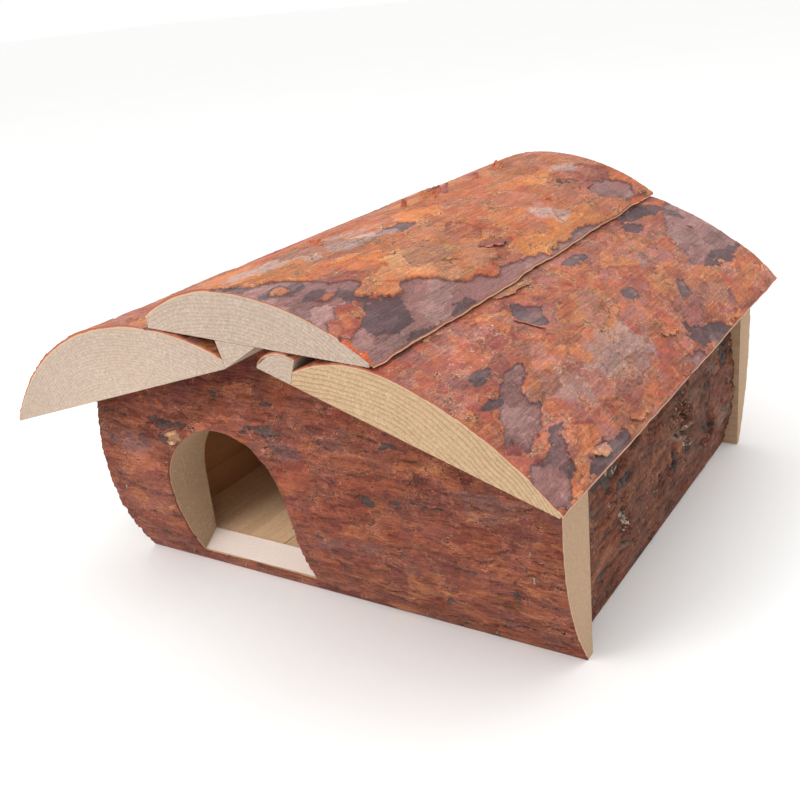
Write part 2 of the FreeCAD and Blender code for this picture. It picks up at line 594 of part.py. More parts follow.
left_distances = (size("roof_left_staple_low"), roof_left.width - size("roof_left_staple_high"))
right_distances = (roof_right.width - size("roof_right_staple_low"), size("roof_right_staple_high"))
FRONT_GRAIN, BACK_GRAIN = 1, -1   # the front wall's local X runs along X, the back wall's against it
staple_groups = (
    ("front_wall_staples", "long", corner_staples(front_wall, FRONT_GRAIN)),
    ("back_wall_staples", "long", corner_staples(back_wall, BACK_GRAIN)),
    ("floor_staples", "short", floor_staples(front_wall, FRONT_GRAIN) + floor_staples(back_wall, BACK_GRAIN)),
    ("roof_left_staples", "long", roof_staples(roof_left, left_distances)),
    ("roof_right_staples", "long", roof_staples(roof_right, right_distances)),
    ("roof_cap_staples", "short", cap_staples()),
)
nodes = {}
slot_links = []
for node, kind, places in staple_groups:
    links = []
    for number, place in enumerate(places, start=1):
        for master, group, ending in ((staples[kind], links, ""), (slots[kind], slot_links, "_slot")):
            link = doc.addObject("App::Link", "%s_%d%s" % (node, number, ending))
            link.LinkedObject = master
            link.Placement = place
            group.append(link)
    nodes[node] = doc.addObject("Part::Compound", node + "_set")
    nodes[node].Links = links
doc.recompute()

# Each piece is cut by the slots that reach it
for node, blank in blanks.items():
    around = blank.Shape.BoundBox
    reaching = [slot for slot in slot_links if Part.getShape(slot).BoundBox.intersect(around)]
    nodes[node] = blank
    if reaching:
        cutters = doc.addObject("Part::Compound", node + "_slots")
        cutters.Links = reaching
        nodes[node] = boolean("Cut", node + "_slotted", blank, cutters)
for node, piece in nodes.items():
    piece.Label = node
doc.recompute()

# Nothing is written unless every object is sound
for item in doc.Objects:
    if "Invalid" in item.State or "Error" in item.State:
        raise RuntimeError("%s failed: %s" % (item.Label, item.State))
for node, piece in nodes.items():
    if piece.Shape.isNull() or not piece.Shape.isValid() or not piece.Shape.Solids:
        raise RuntimeError("%s has no sound solid" % node)
os.makedirs("parts", exist_ok=True)
for node, piece in nodes.items():
    piece.Shape.exportStep("parts/%s.step" % node)
    box = piece.Shape.BoundBox
    print("%-24s %2d solid(s)  %7.1f cm3  x %7.1f %7.1f  y %7.1f %7.1f  z %6.1f %6.1f" % (
        node, len(piece.Shape.Solids), piece.Shape.Volume / 1000, box.XMin, box.XMax, box.YMin, box.YMax,
        box.ZMin, box.ZMax))
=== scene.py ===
# %% [markdown]
# # A hedgehog house of bark slabs
#
# The house is put together from slabs, the outer cuts of pine logs: one side is sawn flat, the other still
# has its bark. The solids of the slabs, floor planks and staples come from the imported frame. This lesson
# adds what a solid can't show: the flaking bark, the growth rings of the sawn wood and the soft light.

# %% The frame
import math

import bpy
import numpy as np
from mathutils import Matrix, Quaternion, Vector


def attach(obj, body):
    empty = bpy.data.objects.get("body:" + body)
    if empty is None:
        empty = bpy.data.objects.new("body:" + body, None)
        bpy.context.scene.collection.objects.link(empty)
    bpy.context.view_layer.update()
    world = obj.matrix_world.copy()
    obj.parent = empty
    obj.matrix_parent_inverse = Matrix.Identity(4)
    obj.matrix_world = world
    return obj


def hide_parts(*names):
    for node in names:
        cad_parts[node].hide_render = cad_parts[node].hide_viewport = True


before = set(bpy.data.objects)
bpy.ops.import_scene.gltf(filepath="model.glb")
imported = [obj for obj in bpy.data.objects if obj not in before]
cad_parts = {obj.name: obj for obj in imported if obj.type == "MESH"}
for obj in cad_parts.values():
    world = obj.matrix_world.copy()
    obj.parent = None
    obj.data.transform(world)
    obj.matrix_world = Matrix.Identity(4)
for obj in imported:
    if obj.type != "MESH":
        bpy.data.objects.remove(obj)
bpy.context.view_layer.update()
MM = 0.001
print("nodes in the frame:", len(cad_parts))

# %% [markdown]
# ## The camera
#
# The photograph is square and was taken from the right of the house, a little above its roof, with the
# camera tipped to one side. Place, aim and roll were fitted to the straight edges of the house, so every
# piece can be compared with the photograph at the same spot of the picture.

# %% Camera
CAMERA_PLACE = Vector((0.43180, -0.72023, 0.43095))
CAMERA_AIM = Vector((-0.03573, -0.02850, 0.09491))
CAMERA_ROLL = math.radians(-5.878)
CAMERA_LENS, SENSOR_WIDTH = 46.55, 36   # millimetres

camera = bpy.data.objects.new("camera", bpy.data.cameras.new("camera"))
bpy.context.scene.collection.objects.link(camera)
camera.data.sensor_width = SENSOR_WIDTH
camera.data.lens = CAMERA_LENS
aimed = (CAMERA_AIM - CAMERA_PLACE).to_track_quat("-Z", "Y")
camera.rotation_mode = "QUATERNION"
camera.rotation_quaternion = aimed @ Quaternion((0, 0, 1), CAMERA_ROLL)
camera.location = CAMERA_PLACE
bpy.context.scene.camera = camera
print("camera %.2f m from its aim" % (CAMERA_AIM - CAMERA_PLACE).length)

# %% [markdown]
# ## Slabs as formulas
#
# A slab's section is a flat line with two arcs over it that meet at the crown. With the section and three
# directions (along the grain, across the slab, and out of its flat face) any point on its round side is a
# function of two numbers, so a whole bark sheet can be worked out at once on a grid.


# %% Slab geometry
class Slab:
    """A slab in millimetres. Its round side is P(u, s) = corner + u grain + s across + h(s) out.

    The section is h(s) = T - R + sqrt(R^2 - (s - crown)^2). The radius R = (run^2 + drop^2) / (2 drop)
    differs on the two sides of the crown, because each arc ends at its own edge thickness.
    """

    def __init__(self, corner, grain, across, out, span, width, crown, thickness, edges):
        self.corner, self.grain = np.array(corner, float), np.array(grain, float)
        self.across, self.out = np.array(across, float), np.array(out, float)
        self.span, self.width, self.crown, self.thickness = span, width, crown, thickness
        runs = (crown, width - crown)
        drops = (thickness - edges[0], thickness - edges[1])
        self.radii = [(run ** 2 + drop ** 2) / (2 * drop) for run, drop in zip(runs, drops)]

    def height(self, s):
        """h(s): how far the bark lies from the flat face."""
        radius = np.where(s < self.crown, *self.radii)
        return self.thickness - radius + np.sqrt(radius ** 2 - (s - self.crown) ** 2)

    def lean(self, s):
        """dh/ds: the slope of the round side."""
        radius = np.where(s < self.crown, *self.radii)
        return -(s - self.crown) / np.sqrt(radius ** 2 - (s - self.crown) ** 2)

    def surface(self, u, s, lift):
        """P(u, s) moved by `lift` along the surface's own normal, out - h'(s) across made one long."""
        lean = self.lean(s)[..., None]
        normal = (self.out - lean * self.across) / np.sqrt(1 + lean ** 2)
        flat = self.corner + u[..., None] * self.grain + s[..., None] * self.across
        return flat + self.height(s)[..., None] * self.out + lift[..., None] * normal


ROOF_SPAN = (223, -257)   # from the back end of the roof to its front end


def roof_slab(x, z, fall, *section):
    """A slab whose grain runs along Y and whose width falls to the right by `fall` degrees."""
    turn = math.radians(fall)
    across = (math.cos(turn), 0, -math.sin(turn))
    out = (math.sin(turn), 0, math.cos(turn))
    return Slab((x, 0, z), (0, 1, 0), across, out, ROOF_SPAN, *section)


UP = (0, 0, 1)
# After its place, each slab gives its width, the crown's place, and the thickness there and at the two edges
slabs = {
    "roof_left": roof_slab(-241, 140.4, -17.083, 237, 117, 51.5, (4, 8)),
    "roof_right": roof_slab(38.105, 205.305, 17.904, 188, 64, 36, (10.5, 4.5)),
    "roof_cap": roof_slab(-78.545, 232.063, 2.672, 178, 73, 35, (10, 5)),
    "ridge_strip_right": roof_slab(12.127, 213.697, 17.904, 27, 22, 19.671, (4, 19.171)),
    "front_wall": Slab((0, -177, 0), (1, 0, 0), UP, (0, -1, 0), (-200, 200), 216, 106, 42, (9, 6)),
    "back_wall": Slab((0, 177, 0), (1, 0, 0), UP, (0, 1, 0), (200, -200), 216, 108, 33, (5, 5)),
    "left_wall": Slab((-176, 0, 0), (0, 1, 0), UP, (-1, 0, 0), (177, -177), 160.376, 75, 20, (12, 9)),
    "right_wall": Slab((164, 0, 0), (0, 1, 0), UP, (1, 0, 0), (-177, 177), 164.631, 62, 32, (22, 9)),
}
BARK = 2.5   # how thick the bark is on its solid
print("slabs:", ", ".join(slabs))

# %% [markdown]
# ## Noise
#
# Bark has no drawing to copy, so its flakes come from noise: a smooth random landscape. Every landscape
# here is seeded by a number, and the same number gives the same flakes on each run.


# %% Noise landscapes
TABLE = 256   # lattice corners along each side, after which the noise repeats
NOISE_GAIN = 1.6   # brings the blended planes to about -1 to 1


def smooth_noise(x, y, seed):
    """Gradient noise from about -1 to 1.

    Each corner of a square lattice has a random slope. A point takes the heights of the four sloping planes
    around it and blends them with the weight 6 t^5 - 15 t^4 + 10 t^3.
    """
    turns = np.random.default_rng(seed).uniform(0, 2 * np.pi, (TABLE, TABLE))
    column, row = np.floor(x).astype(int), np.floor(y).astype(int)
    right, up = x - column, y - row

    def plane(i, j):
        turn = turns[(column + i) % TABLE, (row + j) % TABLE]
        return np.cos(turn) * (right - i) + np.sin(turn) * (up - j)

    weight_x = right ** 3 * (right * (6 * right - 15) + 10)
    weight_y = up ** 3 * (up * (6 * up - 15) + 10)
    low = plane(0, 0) * (1 - weight_x) + plane(1, 0) * weight_x
    high = plane(0, 1) * (1 - weight_x) + plane(1, 1) * weight_x
    return NOISE_GAIN * (low * (1 - weight_y) + high * weight_y)


def layered_noise(x, y, seed, octaves=4, gain=0.5):
    """A sum of noises, each twice as fine as the one before and `gain` times as strong."""
    total = np.zeros_like(x)
    for octave in range(octaves):
        fine = 2.0 ** octave
        total += gain ** octave * smooth_noise(x * fine, y * fine, 100 * seed + octave)
    return total


def ramp(value, low, high):
    """0 below `low`, 1 above `high` and a smooth step 3t^2 - 2t^3 between them."""
    t = np.clip((value - low) / (high - low), 0, 1)
    return t * t * (3 - 2 * t)


def soften(field, times):
    """Averages each place with its neighbours, `times` over."""
    for _ in range(times):
        wide = np.pad(field, 1, mode="edge")
        beside = wide[:-2, 1:-1] + wide[2:, 1:-1] + wide[1:-1, :-2] + wide[1:-1, 2:]
        field = (2 * field + beside) / 6
    return field


sample = layered_noise(*np.meshgrid(np.linspace(0, 9, 200), np.linspace(0, 9, 200)), seed=1)
print("noise runs from %.2f to %.2f" % (sample.min(), sample.max()))

# %% [markdown]
# ## Layers of bark
#
# Pine bark high on the trunk is a pile of papery layers. Where flakes have come off, a deeper layer with
# another colour shows, and the edge of the layer above curls up. So the bark is drawn like a map: one
# landscape tells how many layers are left, every threshold in it is a flake's edge, and the height of the
# surface goes up by one step there. Large patches that the photograph shows are listed one by one, as ragged
# shapes between a diamond and an ellipse that pull the landscape to a chosen layer.

# %% Layers, steps and patches
INNER, MAUVE, SLATE, RUST, ORANGE, TAN = 0.03, 0.20, 0.40, 0.58, 0.78, 0.94
EDGES = (0.10, 0.33, 0.47, 0.69, 0.87)   # where one layer ends and the next one up begins
STEPS = (0.50, 0.25, 0.65, 0.60, 0.45)   # millimetres that each layer adds
DEEPEST = -1.9   # the innermost layer, below the plain bark surface
ROUNDNESS = 1.5   # of a patch: 1 would be a diamond and 2 an ellipse
FRINGE = 0.12   # the share of a patch over which it fades in
WARP = 0.22   # the share of a flake by which outlines wander
CURL_FADE = 0.035   # the share of the layers over which a curled rim goes flat again
CREVICE_WIDTH = 0.13   # in heights of the noise that draws the crevices
SCALE_HEIGHT, FINE_WRINKLE = 0.75, 0.10   # millimetres


def patch_reach(u, s, at_u, at_s, half_u, half_s, turn):
    """0 in the middle of a patch and 1 on its outline, |a|^p + |b|^p = 1 with p the roundness.

    a and b are the distances from the middle along two axes turned by `turn` degrees, as shares of the
    patch's half length and half width.
    """
    cosine, sine = math.cos(math.radians(turn)), math.sin(math.radians(turn))
    a = ((u - at_u) * cosine + (s - at_s) * sine) / half_u
    b = ((s - at_s) * cosine - (u - at_u) * sine) / half_s
    return (np.abs(a) ** ROUNDNESS + np.abs(b) ** ROUNDNESS) ** (1 / ROUNDNESS)


def frayed(u, s, grain, reach, seeds, gain):
    """Places moved by about `reach` by noise of the size `grain`, so that what is drawn on them frays."""
    across = [layered_noise(u / grain[0], s / grain[1], seed, octaves=4, gain=gain) for seed in seeds]
    return u + reach[0] * across[0], s + reach[1] * across[1]


def lay_patches(left, tone, patches, places, uneven, tone_kept, within=1.0):
    """Moves the landscape to each patch's layer, and its tone to the patch's, inside the patch's outline.

    A patch is (layer, tone, u, s, half length, half width, turn). `uneven` adds to its layer, and the share
    `tone_kept` of the old tone stays.
    """
    for layer, patch_tone, *shape in patches:
        inside = ramp(1 - patch_reach(*places, *shape), 0, FRINGE) * within
        left = left + (layer + uneven - left) * inside
        tone = tone + (patch_tone + tone_kept * (tone - 0.5) - tone) * inside
    return left, tone


def bark_landscape(u, s, seed, flake, patches, mean):
    """The share of layers left, from 0 to about 1, a tone from red (0) to yellow (1), and small scales.

    Layered noise on places that are themselves shifted by noise, so that outlines curl. `flake` is the usual
    length and width of a flake, and `mean` the share of layers left on the whole. The patches then lie on
    it, and finer noise frays their outlines.
    """
    length, width = flake
    wander = u / length * 1.7, s / width * 1.7
    warped_u = u + WARP * length * layered_noise(*wander, seed + 1)
    warped_s = s + WARP * width * layered_noise(*wander, seed + 2)
    rough = layered_noise(warped_u / length, warped_s / width, seed + 3, octaves=6, gain=0.55)
    left = mean + 0.34 * rough
    tone = 0.5 + 0.45 * layered_noise(u / length / 1.6, s / width / 1.6, seed + 4, octaves=4)
    places = frayed(u, s, (22, 13), (4.0, 3.2), (seed + 5, seed + 11), gain=0.68)
    left, tone = lay_patches(left, tone, patches, places, 0.09 * rough, tone_kept=0.4)
    small = warped_u / length / 0.6, warped_s / width / 0.6
    scales = 4 * layered_noise(*small, seed + 9, octaves=3, gain=0.45)
    return left, np.clip(tone, 0, 1), scales


def step_up(value, blur):
    """1 / (1 + exp(-t)), a step from 0 to 1 that is `blur` wide."""
    return 1 / (1 + np.exp(-np.clip(value / blur, -60, 60)))


def overlapping(scales):
    """From -1/2 to 1/2: rises slowly with the field and drops at each whole number, like lapped shingles."""
    blur = np.maximum(0.02, 0.4 * np.hypot(*np.gradient(scales)))
    part = scales - np.floor(scales)
    return part - step_up(part, blur) - step_up(part - 1, blur) + 0.5


def bark_relief(u, s, left, scales, seed, curl, wrinkle, crevice):
    """Height of the bark over its plain surface: a step up at each layer's edge, with a curled rim.

    Each step is drawn over about two places of the grid, so that it doesn't look like stairs. The rim above
    it lifts by curl exp(-t) where the noise lets it. Small lapped scales and wrinkles come on top, and
    crevices of depth crevice exp(-(n / width)^2) where a noise n goes through zero.
    """
    change = np.hypot(*np.gradient(left))
    blur = np.maximum(0.006, 0.45 * change)
    lifted = curl * np.clip(0.2 + layered_noise(u / 26, s / 18, seed + 6), 0, 1.2)
    height = np.full_like(left, DEEPEST)
    for edge, step in zip(EDGES, STEPS):
        above = left - edge
        risen = step_up(above, blur)
        height += step * risen * (1 + lifted * np.exp(-np.clip(above, 0, 1) / CURL_FADE))
    scaly = np.clip(0.45 + layered_noise(u / 50, s / 35, seed + 10), 0.1, 1)
    height += SCALE_HEIGHT * overlapping(scales) * scaly
    height += wrinkle * layered_noise(u / 30, s / 6.5, seed + 7, octaves=4)
    height += FINE_WRINKLE * layered_noise(u / 14, s / 2.6, seed + 8, octaves=3)
    cracked = np.clip(0.35 + layered_noise(u / 45, s / 30, seed + 14), 0, 1)
    across = layered_noise(u / 30, s / 9, seed + 13, octaves=4)
    height -= crevice * cracked * np.exp(-(across / CREVICE_WIDTH) ** 2)
    return height


print("bark from %.1f to %.1f mm about its plain surface" % (DEEPEST, DEEPEST + sum(STEPS)))

# %% [markdown]
# ## Closed sheets
#
# A bark piece is a closed shell: a fine sheet outside, a coarse one where it lies on the wood, and a rim
# of triangles between the two borders. The coarse sheet uses every fourth place of the fine one, which
# saves half the triangles where nobody looks.


# %% Shells from grids
COARSE = 4


def sheet(numbers):
    """Quads between neighbouring places of a grid of vertex numbers."""
    return np.stack([numbers[:-1, :-1], numbers[:-1, 1:], numbers[1:, 1:], numbers[1:, :-1]], axis=-1)


def rim(outer, inner):
    """Triangles from a fine border to a coarse one: a fan at each coarse place, and one to link the fans."""
    nearest = (np.arange(len(outer) - 1) + COARSE // 2) // COARSE
    fans = np.stack([outer[1:], outer[:-1], inner[nearest]], axis=-1)
    links = np.stack([outer[COARSE // 2::COARSE], inner[:-1], inner[1:]], axis=-1)
    return np.concatenate([fans, links])


def round_border(rows, columns):
    """The (row, column) places along the border of a block of a grid, the way a clock runs backwards."""
    (bottom, top), (left, right) = rows, columns
    across = np.arange(left, right + 1, 1)
    upward = np.arange(bottom, top + 1, 1)
    return [(np.full_like(across, bottom), across), (upward, np.full_like(upward, right)),
            (np.full_like(across, top), across[::-1]), (upward[::-1], np.full_like(upward, left))]


def new_piece(name, points, faces, fields, smooth):
    """A mesh object at the origin from points in millimetres, with one value per point in each field."""
    mesh = bpy.data.meshes.new(name)
    mesh.from_pydata(points * MM, [], faces)
    for field, values in fields.items():
        mesh.attributes.new(field, "FLOAT", "POINT").data.foreach_set("value", values.astype(np.float32))
    mesh.polygons.foreach_set("use_smooth", smooth)
    piece = bpy.data.objects.new(name, mesh)
    bpy.context.scene.collection.objects.link(piece)
    return piece


def bark_shell(name, slab, u, s, fields, lift, hole=None):
    """A closed bark piece over the grid (u, s). `hole` is a block of rows and columns to leave open."""
    rows, columns = u.shape
    fine = np.arange(rows * columns).reshape(rows, columns)
    coarse_u, coarse_s = u[::COARSE, ::COARSE], s[::COARSE, ::COARSE]
    coarse = fine.size + np.arange(coarse_u.size).reshape(coarse_u.shape)
    outer = slab.surface(u, s, lift)
    inner = slab.surface(coarse_u, coarse_s, np.zeros_like(coarse_u)) - BARK * slab.out
    fine_quads, coarse_quads = sheet(fine), sheet(coarse)[..., ::-1]
    borders = [(chain, 1) for chain in round_border((0, rows - 1), (0, columns - 1))]
    keep_fine = np.ones(fine_quads.shape[:2], bool)
    keep_coarse = np.ones(coarse_quads.shape[:2], bool)
    if hole:
        (low, high), (left, right) = hole
        keep_fine[low:high, left:right] = False
        keep_coarse[low // COARSE:high // COARSE, left // COARSE:right // COARSE] = False
        borders += [(chain, -1) for chain in round_border(*hole)]
    rims = []
    for (row, column), way in borders:
        row, column = row[::way], column[::way]
        rims.append(rim(fine[row, column], coarse[row[::COARSE] // COARSE, column[::COARSE] // COARSE]))
    quads = np.concatenate([fine_quads[keep_fine], coarse_quads[keep_coarse]])
    triangles = np.concatenate(rims)
    points = np.concatenate([outer.reshape(-1, 3), inner.reshape(-1, 3)])
    # Vertices inside the hole belong to no face, so they are dropped and the rest renumbered
    used = np.zeros(len(points), bool)
    used[quads] = True
    used[triangles] = True
    renumber = np.cumsum(used) - 1
    faces = renumber[quads].tolist() + renumber[triangles].tolist()
    values = {field: np.concatenate([grid.ravel(), np.zeros(coarse.size)])[used]
              for field, grid in fields.items()}
    values["depth"] = np.repeat([0.0, 1.0], [fine.size, coarse.size])[used]
    smooth = np.repeat([True, False], [len(quads), len(triangles)])
    piece = new_piece(name, points[used], faces, values, smooth)
    sawn = piece.data.attributes.new("sawn", "FLOAT", "FACE")
    sawn.data.foreach_set("value", (~smooth).astype(np.float32))
    print("%-24s %6d faces" % (name, len(faces)))
    return piece


# %% [markdown]
# ## Shader maths
#
# Materials are node trees. One small class lets Python's own operators stand for Math nodes, so a formula
# in a material reads like a formula.


# %% A socket with operators
class Wire:
    """A socket in a material's node tree. Operators between wires and numbers add Math nodes."""

    def __init__(self, tree, socket=None):
        self.tree = tree
        self.socket = socket

    def node(self, kind, settings=None, sockets=None, output=0):
        """Adds a node of any kind: its settings first, then the values or links of its sockets."""
        made = self.tree.nodes.new(kind)
        for key, value in (settings or {}).items():
            if key == "stops":
                elements = made.color_ramp.elements
                while len(elements) < len(value):
                    elements.new(1.0)
                for element, (place, colour) in zip(elements, value):
                    element.position = place
                    element.color = colour
            else:
                setattr(made, key, value)
        for key, value in (sockets or {}).items():
            if isinstance(value, Wire):
                self.tree.links.new(value.socket, made.inputs[key])
            else:
                made.inputs[key].default_value = value
        return Wire(self.tree, made.outputs[output])

    def math(self, operation, *values):
        return self.node("ShaderNodeMath", {"operation": operation}, dict(enumerate(values)))

    def __add__(self, other):
        return self.math("ADD", self, other)

    def __radd__(self, other):
        return self.math("ADD", other, self)

    def __sub__(self, other):
        return self.math("SUBTRACT", self, other)

    def __rsub__(self, other):
        return self.math("SUBTRACT", other, self)

    def __mul__(self, other):
        return self.math("MULTIPLY", self, other)

    def __rmul__(self, other):
        return self.math("MULTIPLY", other, self)

    def __truediv__(self, other):
        return self.math("DIVIDE", self, other)

    def __pow__(self, other):
        return self.math("POWER", self, other)

    def __abs__(self):
        return self.math("ABSOLUTE", self)

    def fraction(self):
        """What is left over after the last whole number."""
        return self.math("FRACT", self)

    def step(self, low, high):
        """0 below `low`, 1 above `high`, smooth between."""
        return self.node("ShaderNodeMapRange", {"interpolation_type": "SMOOTHSTEP"},
                         {0: self, 1: low, 2: high, 3: 0.0, 4: 1.0})

    def along(self, direction):
        """How far a place lies along a direction."""
        return self.node("ShaderNodeVectorMath", {"operation": "DOT_PRODUCT"}, {0: self, 1: direction}, 1)

    def times(self, x, y, z):
        """A place with its three numbers multiplied, to stretch a pattern."""
        return self.node("ShaderNodeVectorMath", {"operation": "MULTIPLY"}, {0: self, 1: (x, y, z)})

    def noise(self, scale, detail=3.0, roughness=0.55):
        return self.node("ShaderNodeTexNoise", None,
                         {"Vector": self, "Scale": scale, "Detail": detail, "Roughness": roughness})

    def shifted(self, scale, reach):
        """A place moved by up to about half of `reach` by noise, so that what is drawn on it gets ragged."""
        wander = self.node("ShaderNodeTexNoise", None,
                           {"Vector": self, "Scale": scale, "Detail": 4.0}, "Color")
        return self.node("ShaderNodeVectorMath", {"operation": "MULTIPLY_ADD"},
                         {0: wander, 1: (reach, reach, reach), 2: self})

    def cells(self, scale):
        """Three random numbers for the cell of a scattered pattern that a place lies in."""
        chosen = self.node("ShaderNodeTexVoronoi", None, {"Vector": self, "Scale": scale}, "Color")
        return [self.node("ShaderNodeSeparateColor", None, {0: chosen}, part) for part in range(3)]

    def cell_borders(self, scale):
        """How far a place lies from the border of its cell."""
        return self.node("ShaderNodeTexVoronoi", {"feature": "DISTANCE_TO_EDGE"},
                         {"Vector": self, "Scale": scale})

    def colours(self, stops):
        """A colour from this value, by a ramp of (place, colour) stops."""
        return self.node("ShaderNodeValToRGB", {"stops": stops}, {0: self})

    def mix(self, first, second):
        """The first colour with this share of the second one."""
        return self.node("ShaderNodeMix", {"data_type": "RGBA"}, {0: self, 6: first, 7: second}, 2)

    def tint(self, light):
        """A colour made darker or lighter by a number."""
        shade = self.node("ShaderNodeCombineColor", None, {0: light, 1: light, 2: light})
        return self.node("ShaderNodeMix", {"data_type": "RGBA", "blend_type": "MULTIPLY"},
                         {0: 1.0, 6: self, 7: shade}, 2)


def paint(red, green, blue):
    """A colour as a paint chart or picture gives it, from 0 to 255, made linear for the shader."""
    parts = np.array([red, green, blue]) / 255
    linear = np.where(parts <= 0.04045, parts / 12.92, ((parts + 0.055) / 1.055) ** 2.4)
    return (*linear.tolist(), 1.0)


def new_finish(name):
    """A material, a wire to build its nodes from, the place on the object, and its shader node."""
    material = bpy.data.materials.new(name)
    material.use_nodes = True
    tree = material.node_tree
    shader = next(node for node in tree.nodes if node.type == "BSDF_PRINCIPLED")
    wire = Wire(tree)
    place = wire.node("ShaderNodeTexCoord", output="Object")
    return material, wire, place, shader


def finish_with(shader, colour, roughness, height, depth_mm):
    """Links colour, roughness and a bump of a given depth to a shader."""
    tree = colour.tree
    tree.links.new(colour.socket, shader.inputs["Base Color"])
    tree.links.new(roughness.socket, shader.inputs["Roughness"])
    bump = colour.node("ShaderNodeBump", None, {"Strength": 1.0, "Distance": depth_mm * MM, "Height": height},
                       "Normal")
    tree.links.new(bump.socket, shader.inputs["Normal"])


print("shader maths ready")

# %% [markdown]
# ## The bark finish
#
# The material reads the layer landscape from the mesh. One ramp turns it into the layers' colours: mauve
# fades into slate and rust into orange and tan, but between these two groups the edge is sharp. Two such
# ramps, a redder and a yellower one, are blended by the tone. An image of bark would show one log and no
# other, so the colour varies by formulas instead: scattered cells, ragged like flakes and with smaller chips
# in them, each change it a little. Some flake edges get a dark line of painted shadow below them, and a pale
# line on them that is partly the papery bark's own colour and partly a painted highlight. Cell borders,
# creases and recesses of the relief are darkened with painted shade. Streaks along the grain, a pink bloom, a
# grey veil, chalky scuffs and fine specks come on top; on the cap one veil stands for a painted sheen. Where
# the sheet was sawn, a brown line over pale inner bark shows.

# %% Ramps for layers and edges
BLACK, WHITE = (0, 0, 0, 1), (1, 1, 1, 1)


def grey(value):
    return (value, value, value, 1)


def layer_ramp(layers):
    """Stops from the inner bark up to the tan sheets, sharp at the first and third edge, soft elsewhere."""
    inner, mauve, slate, rust, orange, tan = [paint(*colour) for colour in layers]
    return [(0.0, inner), (EDGES[0] - 0.004, inner), (EDGES[0] + 0.004, mauve), (0.27, mauve), (0.37, slate),
            (EDGES[2] - 0.003, slate), (EDGES[2] + 0.003, rust), (0.59, rust), (0.73, orange), (0.83, orange),
            (0.92, tan)]


def edge_ramp(before, at, after, strengths):
    """Stops for a line beside each flake edge but the soft one: it begins, is strongest and ends there."""
    stops = [(0.0, BLACK)]
    for edge, strength in zip((EDGES[0],) + EDGES[2:], strengths):
        stops += [(edge + before, BLACK), (edge + at, grey(strength)), (edge + after, BLACK)]
    return stops


CHALK, INNER_BARK = (226, 200, 186), (206, 172, 142)
print("stops in a layer ramp:", len(layer_ramp([(0, 0, 0)] * 6)))
